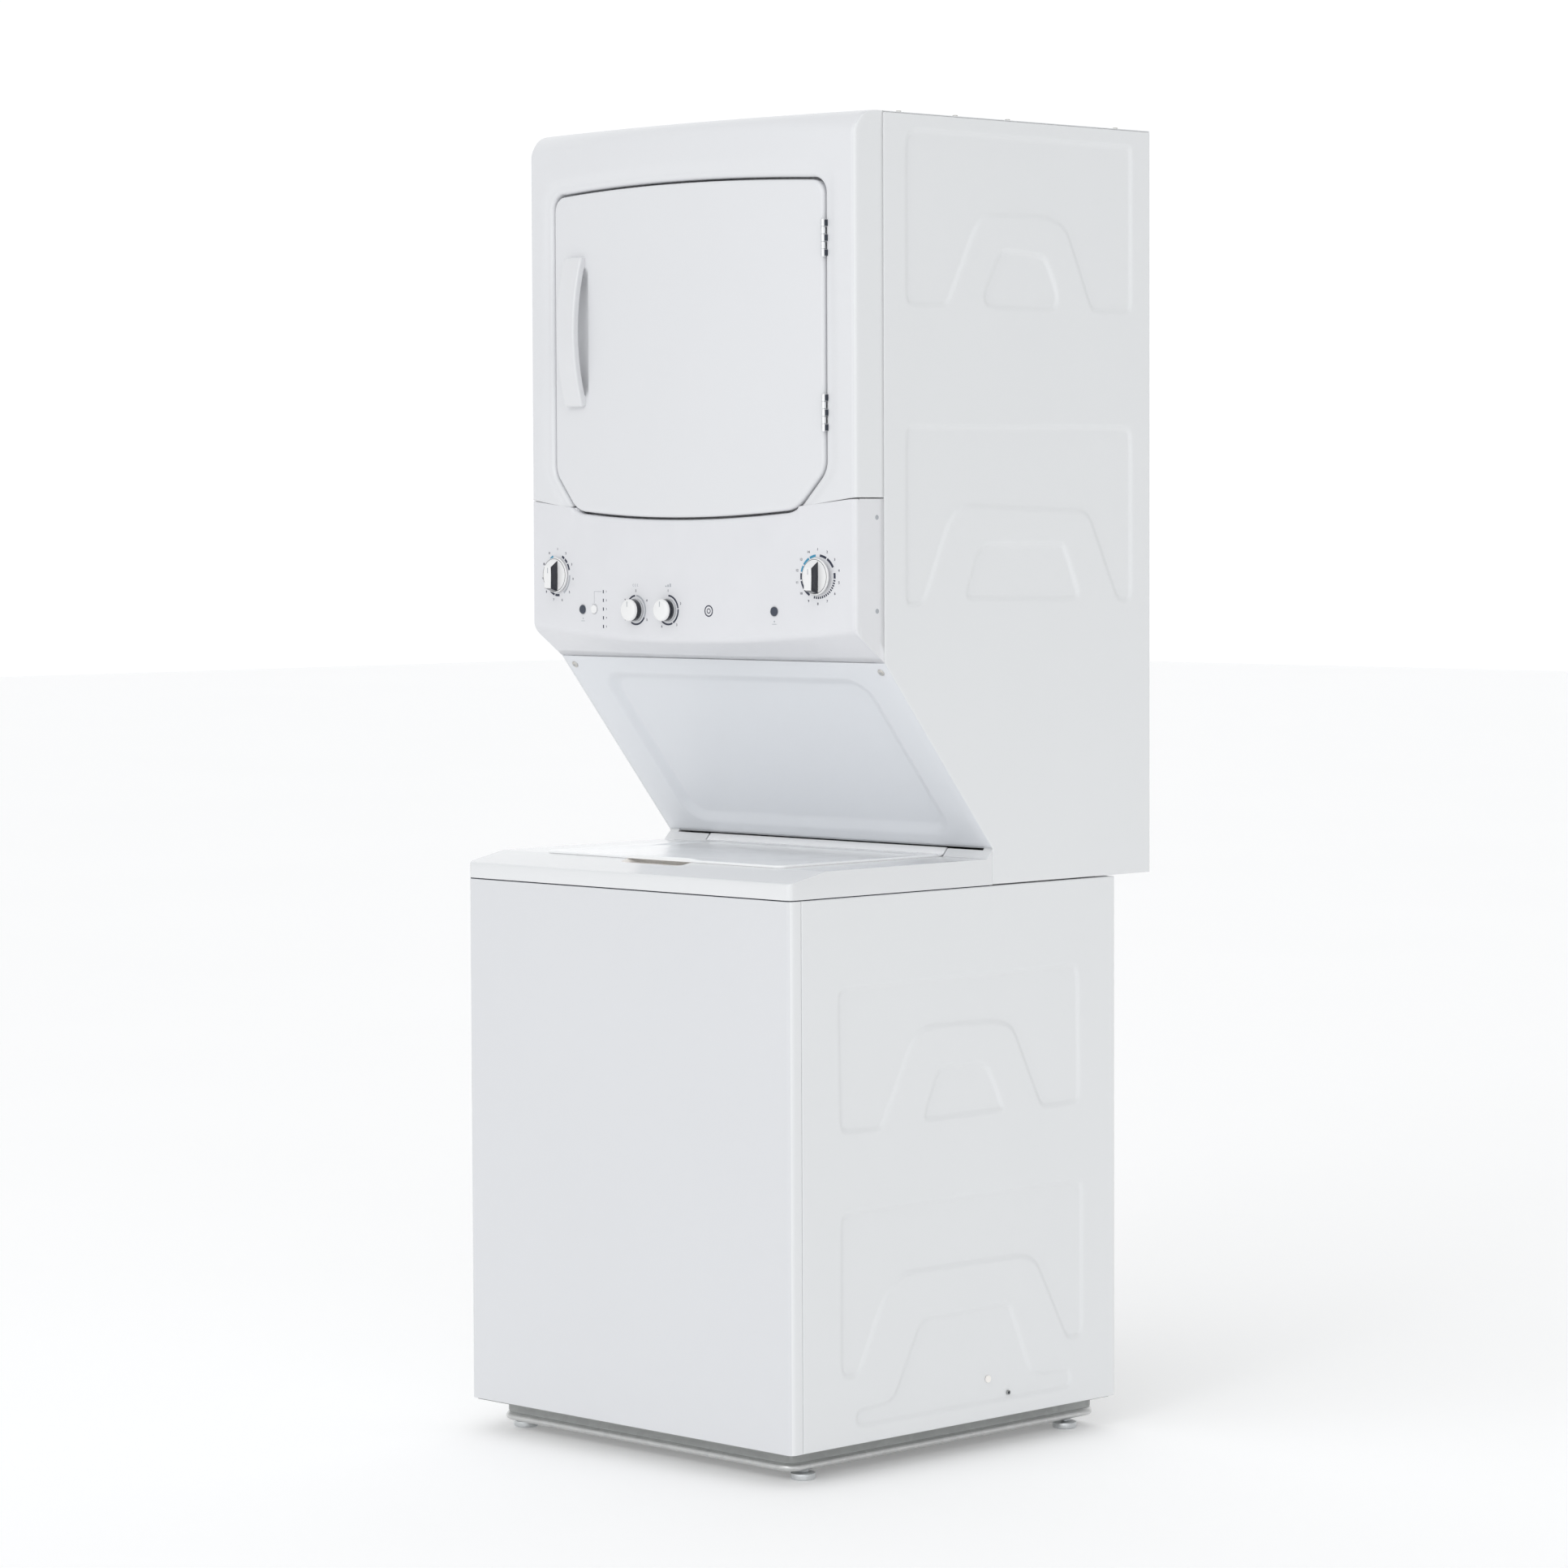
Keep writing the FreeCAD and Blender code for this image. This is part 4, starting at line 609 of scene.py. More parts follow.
for sx, nm in ((1, "right"), (-1, "left")):
    mb = side_panel(sx, 46.7, 823.4, lambda z: 22.9, 678.7, 262, 222, ("W1", "W1i", "W2", "W2i"), 3.0)
    make("washer_side_skin_" + nm, mb, "white", rep=["washer_side_panel_" + nm], sharp=55.0)

    def ylo(z):
        if z >= SLT[1]:
            return Y_SEAM
        if z <= SLB[1]:
            return SLB[0]
        return SLT[0] + (SLB[0] - SLT[0]) * (SLT[1] - z) / (SLT[1] - SLB[1])
    mb = side_panel(sx, 825.4, 1925.6, ylo, 758.7, 360, 190, ("U1", "U1i", "U2", "U2i"), 3.0, (SLT[1], SLB[1]), 2.6)
    make("dryer_side_skin_" + nm, mb, "white", rep=["dryer_side_panel_" + nm], sharp=55.0)

# small plug and drain hole low on the washer's sides
mb = MB()
for sx in (1, -1):
    mb.lathe([(0, -2.0), (5.2, -2.0), (5.2, -0.15), (4.4, -0.02), (0, 0.0)] if sx > 0 else [(0, 2.0), (5.2, 2.0), (5.2, 0.15), (4.4, 0.02), (0, 0.0)], (sx * (HX - 0.0), 403.3, 105.4), "x", 28)
make("side_plugs", mb, "beige", sharp=40)
mb = MB()
for sx in (1, -1):
    mb.lathe([(3.3, -3.0), (3.3, 0.0), (2.1, 0.0), (2.1, -2.9)] if sx > 0 else [(3.3, 3.0), (3.3, 0.0), (2.1, 0.0), (2.1, 2.9)], (sx * HX, 446.6, 80.3), "x", 24, 0)
    # the hole's floor is a dark disc: painted shade inside the drain hole
    mb.lathe([(0, -1.2 * sx), (2.2, -1.2 * sx), (2.2, -2.9 * sx), (0, -2.9 * sx)], (sx * HX, 446.6, 80.3), "x", 24, 1)
make("side_hole_rims_and_painted_shade", mb, ["galv", "shadow"], sharp=40)

# base pan --------------------------------------------------------------
mb = MB()
rows = []
for off, z in ((-28.0, 46.4), (-28.0, 45.0), (0.0, 45.0), (0.0, 40.5), (-0.9, 39.6), (-0.9, 38.0), (0.0, 37.1), (0.0, 29.2), (0.6, 27.8), (0.2, 26.4), (-1.8, 24.8), (-3.1, 22.2), (-3.4, 19.8), (-2.4, 17.3), (-0.2, 15.5), (3.0, 14.6), (8.0, 14.8), (12.0, 16.5), (20.0, 22.0)):
    x1 = min(306.0 - off, 336.5)
    rows.append([(x, y, z) for x, y in rrect(-x1, x1, max(31.0 + off, 3.5), min(676.0 - off, 677.0), max(24.0 - off * 0.5 if off > -5 else 4.0, 8.0), (30, 30), 10)])
mb.grid(rows, True)
mb.ngon(rows[0])
mb.ngon(rows[-1])
o = make("base_pan_skin", mb, ["galv", "galvlip"], rep=["washer_base_pan"], sharp=50)
# faces of the rolled bead take the lighter galvanised copy: painted highlight
for p in o.data.polygons:
    if 0.0140 < p.center.z < 0.0264:
        p.material_index = 1

# feet ------------------------------------------------------------------
for nm, fx, fy in (("front_left", -293.6, 67.8), ("front_right", 293.6, 67.8), ("rear_left", -293.6, 618.1), ("rear_right", 293.6, 618.1)):
    mb = MB()
    mb.lathe([(0, 0.0), (15.0, 0.0), (16.8, 0.5), (17.9, 1.8), (18.0, 3.4), (18.0, 8.0), (17.7, 9.2), (16.6, 10.0), (15.4, 10.3), (14.6, 10.8), (11.0, 11.3), (9.2, 11.9), (8.6, 13.2), (0, 13.2)], (fx, fy, 0), "z", 56)
    hexa = [(9.0 * math.cos(math.radians(a + 12)), 9.0 * math.sin(math.radians(a + 12))) for a in range(0, 360, 60)]
    for z0, z1 in ((12.8, 18.6),):
        rws = []
        for k, z in ((0.93, z0), (1.0, z0 + 0.9), (1.0, z1 - 0.9), (0.93, z1)):
            rws.append([(fx + x * k, fy + y * k, z) for x, y in hexa])
        mb.rings(rws)
    prof = [(0, 18.0), (4.0, 18.0)]
    z = 18.2
    while z < 46.0:
        prof += [(4.05, z), (4.75, z + 0.55), (4.75, z + 0.8), (4.05, z + 1.35)]
        z += 1.6
    prof += [(4.0, 48.0), (0, 48.0)]
    mb.lathe(prof, (fx, fy, 0), "z", 20)
    make("foot_" + nm, mb, "foot", "foot_" + nm, ["levelling_foot_" + nm], sharp=28)

# top cover ---------------------------------------------------------------
mb = MB()
secs = []
NX = [-HX + t for t in (0, 0.35, 1.4, 3.0, 5.2, 9.0)]
xs = NX + [-300, -251.5, -150, 0, 150, 251.5, 300] + [-x for x in reversed(NX)]
for x in xs:
    e = abs(x) - (HX - 9.0)
    y0 = 9.0 - math.sqrt(max(81.0 - e * e, 0.0)) if e > 0 else 0.0
    pts = [(y0, 825.0), (y0, 848.0 + y0 * 0.2014), (72.0, 862.5), (402.0, 862.5), (412.8, 874.2), (412.8, 825.0)]
    pts = fillet(pts, [0.8, 4.0, 9.0, 4.0, 0.0, 0.0], 6)
    secs.append([(x, y, z) for y, z in pts])
mb.rings(secs)
tc = make("top_cover_skin", mb, "deck", rep=["washer_top_cover"], sharp=30)


def cutter(name, mb_, mat_="deck"):
    o_ = make(name, mb_, mat_, show=False, sharp=30)
    o_.hide_render = True
    o_.hide_viewport = True
    return o_


def cut(o_, c_, first=False):
    b_ = o_.modifiers.new("cut", "BOOLEAN")
    b_.operation = "DIFFERENCE"
    b_.solver = "EXACT"
    b_.object = c_


def round_edges(o_, w, n=3, ang=30):
    b_ = o_.modifiers.new("bevel", "BEVEL")
    b_.width = w * 0.001
    b_.segments = n
    b_.limit_method = "ANGLE"
    b_.angle_limit = math.radians(ang)
    b_.harden_normals = True


c1 = MB()
c1.prism([(396.0, 847.0), (430.0, 847.0), (430.0, 900.0), (396.0, 900.0)], -251.5, 251.5, "x")
cut(tc, cutter("cut_trough", c1))
c2 = MB()
c2.rings([[(x, y, z) for x, y in rrect(-212, 212, 96, 384, 60, (20, 14), 12)] for z in (800.0, 900.0)])
cut(tc, cutter("cut_opening", c2))
c3 = MB()
rws = []
for k in range(9):
    t = k / 8.0
    z = 856.6 + 30.0 * t
    rws.append([(x, y, z) for x, y in rrect(-70.5 + 10.0 * (1 - min(1, t * 2.6)) ** 2, 70.5 - 10.0 * (1 - min(1, t * 2.6)) ** 2, 44.0 + 9.0 * (1 - min(1, t * 2.6)) ** 2, 91.0, 10.0, (16, 6), 8)])
c3.rings(rws)
# the scoop walls take the beige: painted bounce light in the shade under the lid's lip
cut(tc, cutter("cut_scoop", c3, "beige"))
tc.modifiers[-1].material_mode = "TRANSFER"
round_edges(tc, 1.3, 3, 32)

mb = MB()
rws = []
for off, z in ((0.5, 861.0), (0.5, 838.0), (-2.0, 838.0), (-2.0, 861.0)):
    rws.append([(x, y, z) for x, y in rrect(-212 + off, 212 - off, 96 + off, 384 - off, 60, (20, 14), 12)])
mb.grid(rws + [rws[0]], True)
mb.box(-254, 254, 393.5, 432, 844.5, 847.0)
for sx in (1, -1):
    mb.lathe([(0, -6.0), (2.9, -6.0), (2.9, 8.5), (0, 8.5)], (sx * 248.5 - (2.5 if sx > 0 else 0), 420.0, 864.0), "x", 20)
make("top_cover_collar", mb, "deck", sharp=35)

# lid ---------------------------------------------------------------------
mb = MB()


def lid_ring(d, zfun):
    pts = rrect(-248.5 + d, 248.5 - d, 71.0 + d, 405.6 - d * 0.4, max(16.0 - d * 0.35, 5.0) if d < 60 else 5.0, (90, 30), 8)
    out = []
    for x, y in pts:
        if y > 300 and d < 1:          # rear corners stay square
            x = math.copysign(248.5 - d, x) if abs(x) > 228 else x
            y = y if abs(x) < 240 else min(y + 0.0, 405.6)
        out.append((x, y, zfun(x, y)))
    return out


def lip(x, y):
    return 2.2 * float(1 - sstep(54, 84, abs(x))) * float(1 - sstep(4.0, 28.0, y - 71.0))


rws = [lid_ring(1.0, lambda x, y: 862.62), lid_ring(0.0, lambda x, y: 862.62), lid_ring(0.0, lambda x, y: 864.0 + lip(x, y)), lid_ring(0.35, lambda x, y: 864.9 + lip(x, y)), lid_ring(1.1, lambda x, y: 865.6 + lip(x, y)),
       lid_ring(2.4, lambda x, y: 866.0 + lip(x, y))]
for d in (4, 8, 12, 16, 20, 24, 26, 28, 30, 32, 34, 36, 40, 60, 100):
    rws.append(lid_ring(d, lambda x, y, d=d: 866.0 + lip(x, y) - 1.5 * float(sstep(20, 36, d))))
mb.rings(rws)
mb.prism([(402.5, 863.0), (402.5, 865.9), (405.2, 866.0), (413.4, 874.9), (414.0, 875.1), (415.9, 873.9), (415.9, 873.6), (405.84, 863.0)], -248.5, 248.5, "x")
for sx in (1, -1):
    x0, x1 = (243.0, 248.4) if sx > 0 else (-248.4, -243.0)
    mb.prism([(399.0, 863.4), (405.84, 863.4), (415.4, 873.4), (421.0, 870.4), (426.3, 864.0), (424.0, 858.6), (418.0, 857.6), (408.0, 860.0)], x0, x1, "x")
make("lid_skin", mb, "lid", "lid", ["washer_lid"], sharp=40)

# ================================================================== SLANTED PANEL
mb = MB()


def slp(x, s, d):
    return (x, SLT[0] + SLD[0] * s + SLN[0] * d, SLT[1] + SLD[1] * s + SLN[1] * d)


rws = []
for (x1, s0, s1, r, d) in ((338.2, 1.5, 351.2, 1.0, 12.0), (338.2, 1.5, 351.2, 1.0, 1.2), (337.9, 1.8, 350.9, 1.0, 0.35), (337.2, 2.6, 350.1, 1.2, 0.0),
                           (318.0, 12.0, 343.0, 8.0, 0.0), (300.0, 22.0, 337.0, 20.0, 0.0)):
    rws.append([slp(x, s, d) for x, s in rrect(-x1, x1, s0, s1, r, (60, 36), 10)])
for k in range(13):
    t = k / 12.0
    x1, s0, s1 = 282.0 - 23.0 * t, 29.5 + 23.0 * t, 334.5 - 21.5 * t
    rws.append([slp(x, s, 8.0 * float(sstep(0, 1, t))) for x, s in rrect(-x1, x1, s0, s1, 42.0 - 16.0 * t, (60, 36), 10)])
rws.append([slp(x, s, 8.0) for x, s in rrect(-240, 240, 70, 296, 14, (60, 36), 10)])
mb.rings(rws)
mb.box(-337.0, 337.0, 417.6, 419.0, 876.9, 886.0)
make("slanted_panel_skin", mb, "slant", rep=["slanted_panel"], sharp=45)


# ================================================================== DRYER FRONT
def zcrown(x):
    return 1899.0 + 12.0 * (1.0 - (x / HX) ** 2)


def ease(pts):
    return pts


def inner_curve(g):
    pts = door_outline(g)
    n = len(pts)
    # the part of the hole above the fascia joint: from the left foot of the chamfer over the top to the right one
    k = 8 + 8 + 56 + 12 + 80 + 12 + 56 + 8 + 8
    return pts[:k + 1]


def outer_curve():
    xr = HXF - 8.0
    cnt = [(8 + 8, ((-xr, seam(xr)), (-xr, 1440.0))), (56 + 6, ((-xr, 1440.0), (-xr, 1890.0))), (6 + 80 + 6, ((-xr, 1890.0), (xr, 1890.0))),
           (56 + 6, ((xr, 1890.0), (xr, 1440.0))), (8 + 8, ((xr, 1440.0), (xr, seam(xr))))]
    out = []
    for n, (a, b) in cnt:
        out += line(a, b, n)[:-1]
    out.append((xr, seam(xr)))
    return out


def door_normals(pts):
    out = []
    n = len(pts)
    for i in range(n):
        a, b = pts[max(i - 1, 0)], pts[min(i + 1, n - 1)]
        tx, tz = b[0] - a[0], b[1] - a[1]
        L = math.hypot(tx, tz)
        out.append((-tz / L, tx / L))
    out[0] = (-0.72, -0.2)
    out[-1] = (0.72, -0.2)
    return out


IN = inner_curve(GAP)
OUTC = outer_curve()
NRM = door_normals(IN)
assert len(IN) == len(OUTC), (len(IN), len(OUTC))
RF = 7.5


def fp_y(x, z, dep=0.0):
    return yf(x) + dep


mb = MB()
rws = [[(x, 150.0, z) for x, z in IN], [(x, 141.0, z) for x, z in IN]]
for k in range(9):
    a = math.radians(90 * k / 8)
    o_, d_ = RF * (1 - math.cos(a)), RF * (1 - math.sin(a))
    rw = []
    for (x, z), (nx, nz) in zip(IN, NRM):
        X, Z = x + nx * o_, z + nz * o_
        X = max(-HXF + 8.0, min(HXF - 8.0, X))
        rw.append((X, yf(X) + d_ + 3.0, Z))
    rws.append(rw)
base = [(p[0], p[2]) for p in rws[-1]]
for t in (0.04, 0.08, 0.13, 0.19, 0.26, 0.34, 0.44, 0.56, 0.70, 0.85, 1.0):
    rw = []
    for (x0, z0), (x1, z1) in zip(base, OUTC):
        x, z = x0 + (x1 - x0) * t, z0 + (z1 - z0) * t
        dd = math.hypot(x - x0, z - z0)
        rw.append((x, yf(x) + 3.0 * math.exp(-(dd / 12.5) ** 2) if t < 1 else yf(x), z))
    rws.append(rw)
mb.grid(rws)
# side returns with the corner radius, sharing the outer curve's heights
xr = HXF - 8.0
left = [p[1] for p in OUTC[:16 + 62 + 1]]
CA = [math.radians(90.0 * i / 8) for i in range(9)]


def plan_row(z, dy, sx):
    # from the front face round the corner to the seam with the side panel
    out = []
    yc = yf(xr) + dy
    for a in CA:
        out.append((sx * (xr + 8.0 * math.sin(a)), yc + 8.0 * (1 - math.cos(a)), z))
    y1 = out[-1][1]
    for t in (0.12, 0.3, 0.5, 0.7, 0.88, 1.0):
        out.append((sx * HXF, y1 + (190.0 - y1) * t, z))
    return out


for sx in (-1, 1):
    zz = left if sx < 0 else left
    zrow = [OUTC[i][1] for i in range(16 + 62 + 1)]
    rw2 = []
    for z in zrow:
        r_ = plan_row(z, 0.0, sx)
        # the joint with the fascia slopes with x
        if abs(z - zrow[0]) < 1e-6:
            r_ = [(a, b, seam(min(abs(a), HX))) for a, b, c in r_]
        rw2.append(r_)
    mb.grid(rw2)
# crown: bends back over the top; the bend starts higher in the middle
topx = [p[0] for p in OUTC[78:78 + 93]]
CR = [(0.0, 0.0), (0.2, 0.12), (0.9, 0.26), (2.2, 0.42), (4.4, 0.58), (7.6, 0.74), (11.6, 0.88), (16.5, 1.0)]


def crown_rows():
    # (distance back, height) pairs from the flat front to the top edge, for a corner height at x
    out = []
    prof_e = [(0.0, 1890.0), (0.0, 1894.0), (0.6, 1897.6), (2.0, 1901.6), (4.4, 1906.2), (7.6, 1911.0), (11.4, 1915.8), (15.6, 1919.6), (20.2, 1922.6), (26.0, 1924.9), (33.0, 1926.3), (41.0, 1926.9), (58.0, 1926.95)]
    prof_c = [(0.0, 1890.0), (0.0, 1903.0), (0.4, 1908.0), (1.3, 1912.2), (2.9, 1915.8), (5.2, 1918.8), (8.2, 1921.2), (12.0, 1923.2), (16.6, 1924.7), (22.5, 1925.8), (31.0, 1926.6), (42.0, 1926.9), (81.0, 1926.95)]
    for e_, c_ in zip(prof_e, prof_c):
        out.append((e_, c_))
    return out


crows = []
for j, (e_, c_) in enumerate(crown_rows()):
    row_ = []
    for x in topx:
        w = 1.0 - (x / HX) ** 2
        dy = e_[0] * (1 - w) + c_[0] * w
        z = e_[1] * (1 - w) + c_[1] * w
        row_.append((x, min(yf(x) + dy, 190.0), z))
    we = 1.0 - (xr / HX) ** 2
    dy = e_[0] * (1 - we) + c_[0] * we
    z = e_[1] * (1 - we) + c_[1] * we
    L_ = plan_row(z, dy, -1)
    R_ = plan_row(z, dy, 1)
    crows.append(list(reversed(L_))[:-1] + row_ + R_[1:])
mb.grid(crows)
# back edge of the top, turned down
mb.grid([crows[-1], [(x, 190.0, 1926.7) for x, y, z in crows[-1]], [(x, 190.0, 1900.0) for x, y, z in crows[-1]]])
# recess floor with the round mouth
IN0 = door_outline(GAP)
mouth = []
for x, z in IN0:
    a = math.atan2(z - 1603.0, x)
    mouth.append((a, x, z))
rws = [[(x, 150.0, z) for a, x, z in mouth]]
for t in (0.5, 0.92):
    rws.append([(x + (226.0 * math.cos(a) - x) * t, 150.0, z + (1603 + 226.0 * math.sin(a) - z) * t) for a, x, z in mouth])
for r_, y_ in ((226.0, 150.0), (219.0, 150.3), (216.4, 151.6), (215.2, 154.0), (215.2, 176.0)):
    rws.append([(r_ * math.cos(a), y_, 1603 + r_ * math.sin(a)) for a, x, z in mouth])
mb.grid(rws, True)
# lower wall of the recess, behind the fascia's top edge
low = IN0[len(IN) - 1:] + [IN0[0]]
mb.grid([[(x, 150.0, z) for x, z in low], [(x, 136.0, z) for x, z in low]])
fpo = make("dryer_front_skin", mb, ["dfront", "white"], rep=["dryer_front_panel"], sharp=50, weld=0.02, post=front_side)
so = fpo.modifiers.new("sheet", "SOLIDIFY")
so.thickness = 0.0003
so.offset = -1.0


# ================================================================== FASCIA
def zb(x):
    return 1196.5 - 20.0 * (1.0 - (x / HX) ** 2)


def under(x, y):
    return zb(x) + (y - yf(x)) * (1151.4 - zb(x)) / (190.3 - yf(x))


DO = door_outline(GAP)
LOWC = sorted([(x, z) for x, z in DO if z < 1378.0 and abs(x) < 245.0])
LX = np.array([p[0] for p in LOWC])
LZ = np.array([p[1] for p in LOWC])


def fa_top(x):
    return float(np.interp(x, LX, LZ)) if abs(x) < 239.5 else seam(x) - 1.0


mb = MB()
cols = []
fx = sorted(set([round(v, 3) for v in list(np.linspace(-xr, -244, 10)) + list(np.linspace(-244, -232, 7)) + list(np.linspace(-232, 232, 70)) + list(np.linspace(232, 244, 7)) + list(np.linspace(244, xr, 10))]))
plan = []
for a in reversed(CA[1:]):
    plan.append((-(xr + 8.0 * math.sin(a)), yf(xr) + 8.0 * (1 - math.cos(a)), -xr))
plan += [(x, yf(x), x) for x in fx]
for a in CA[1:]:
    plan.append((xr + 8.0 * math.sin(a), yf(xr) + 8.0 * (1 - math.cos(a)), xr))


def fa_column(px, py, x):
    z_edge = under(x, py)
    col = []
    for t in (0.0, 0.25, 0.5, 0.75, 0.92):
        y_ = 190.3 + (py + 7.5 - 190.3) * t
        col.append((px, y_, under(x, y_)))
    # rounded lower bend
    p0, p1, p2 = (py + 7.5, under(x, py + 7.5)), (py, z_edge), (py, z_edge + 9.0)
    for k in range(8):
        s = k / 7.0
        col.append((px, p0[0] * (1 - s) ** 2 + p1[0] * 2 * s * (1 - s) + p2[0] * s * s, p0[1] * (1 - s) ** 2 + p1[1] * 2 * s * (1 - s) + p2[1] * s * s))
    zt = fa_top(x)
    w = 1 - float(sstep(232, 243, abs(x)))
    rt = 1.2 + 5.8 * w
    z_lo = z_edge + 9.0
    for t in (0.1, 0.25, 0.4, 0.55, 0.7, 0.85, 0.95, 1.0):
        z = z_lo + (zt - rt - z_lo) * t
        col.append((px, py + w * 1.3 * math.exp(-((zt - rt - z) / 9.0) ** 2), z))
    for k in range(1, 8):
        a = math.radians(90 * k / 7)
        col.append((px, py + rt * (1 - math.cos(a)) + 1.3 * w, zt - rt + rt * math.sin(a)))
    yb = 140.0 * w + (py + 8.0) * (1 - w)
    col.append((px, max(yb, py + 4.0), zt))
    return col


cols = [fa_column(*p_) for p_ in plan]
mb.grid(cols)
for sx in (-1, 1):
    px = sx * HXF
    cc = cols[0] if sx < 0 else cols[-1]
    zt = fa_top(xr)
    T_ = (0.0, 0.1, 0.25, 0.4, 0.55, 0.7, 0.85, 0.95, 1.0)
    mb.grid([[(px, p[1], p[2] + (zt - 1.2 - p[2]) * t) for t in T_] for p in cc[:13]])
    mb.grid([[(px, y_, z_) for z_ in (zt - 1.2, zt - 0.5, zt + 0.3)] for y_ in [p[1] for p in cc[:12]] + [cc[12][1] + 1.2]])
fao = make("fascia_skin", mb, ["fascia", "fside"], rep=["control_fascia"], sharp=50, weld=0.02, post=outward((0.0, 420.0, 1290.0), 1))
so = fao.modifiers.new("sheet", "SOLIDIFY")
so.thickness = 0.0018
so.offset = -1.0

# ================================================================== DOOR
mb = MB()
D0 = door_outline(0.0)
RD = 5.0


def pocket(x, z):
    return 8.0 * float(sstep(-246.0, -236.0, x)) * float(1 - sstep(-206.5, -198.5, x)) * float(sstep(1534.0, 1552.0, z)) * float(1 - sstep(1709.0, 1727.0, z))


rws = [[(x, 148.0, z) for x, z in D0], [(x, 140.0, z) for x, z in D0]]
for k in range(9):
    a = math.radians(90 * k / 8)
    L = offset_loop(D0, -RD * (1 - math.cos(a)))
    rws.append([(x, yd(x) + RD * (1 - math.sin(a)), z) for x, z in L])
inner = offset_loop(D0, -RD)
ws = [0.985, 0.96, 0.93] + list(np.linspace(0.90, 0.68, 30)) + [0.6, 0.5, 0.4, 0.3, 0.2, 0.12, 0.06, 0.03]
for w in ws:
    rws.append([(x * w, yd(x * w) + pocket(x * w, 1600.0 + (z - 1600.0) * w), 1600.0 + (z - 1600.0) * w) for x, z in inner])
mb.grid(rws, True)
mb.fan(rws[-1], (0, yd(0), 1600.0))
mb.ngon(rws[0])
make("door_skin", mb, "dfront", "door", ["door_outer_panel"], sharp=55)

# handle
HC = 1631.0
mb = MB()
o_arc = arc3((112.5, HC + 110), (95.5, HC), (112.5, HC - 110), 28)
i_arc = arc3((120.4, HC - 94.5), (107.2, HC), (120.4, HC + 94.5), 28)
prof = [(126.5, HC + 110)] + o_arc + [(126.5, HC - 110), (126.5, HC - 94.5)] + i_arc + [(126.5, HC + 94.5)]
mb.prism(prof, -243.0, -205.0, "x")
make("handle_skin", mb, "handle", "door", ["door_handle"], bevel=4.2, seg=5, angle=28)

# hinges
KL = 10.5
for part, body, rep_, idx in (("leaf", "cabinet", "door_hinge_leaves", (0, 2, 4)), ("strap", "door", "door_hinge_straps", (1, 3))):
    mb = MB()
    for hz in (1749.0, 1504.0):
        for k in idx:
            z0 = hz - 2.5 * KL + k * KL + 0.25
            mb.lathe([(1.5, 0.0), (3.0, 0.0), (3.4, 0.5), (3.4, KL - 1.0), (3.0, KL - 0.5), (1.5, KL - 0.5)], (284.6, 125.6, z0), "z", 28)
            if part == "leaf":
                mb.box(286.4, 288.0, 126.5, 146.0, z0, z0 + KL - 0.5)
            else:
                mb.box(281.4, 283.0, 126.5, 138.0, z0, z0 + KL - 0.5)
        if part == "leaf":
            mb.lathe([(0, 0), (1.9, 0), (2.3, 0.5), (2.3, 0.9), (1.45, 1.0), (1.45, 5 * KL + 0.2), (2.3, 5 * KL + 0.3), (2.3, 5 * KL + 0.7), (1.9, 5 * KL + 1.2), (0, 5 * KL + 1.2)], (284.6, 125.6, hz - 2.5 * KL - 0.6), "z", 20)
            mb.box(286.4, 288.0, 140.8, 149.6, hz - 25, hz + 25)
        else:
            mb.box(257.0, 283.0, 136.6, 138.2, hz - 25, hz + 25)
    make("hinge_" + part, mb, "nickel", body, [rep_], sharp=35)
# dark boxes in the frame's hinge slots: painted shade
mb = MB()
for hz in (1749.0, 1504.0):
    for k in (0, 2, 4):
        z0 = hz - 2.5 * KL + k * KL + 0.9
        y_ = yf(289.0)
        mb.box(287.6, 290.3, y_ - 0.35, y_ + 6.0, z0, z0 + KL - 1.8)
make("hinge_slot_painted_shade", mb, "shadow", bevel=0.3, seg=2)

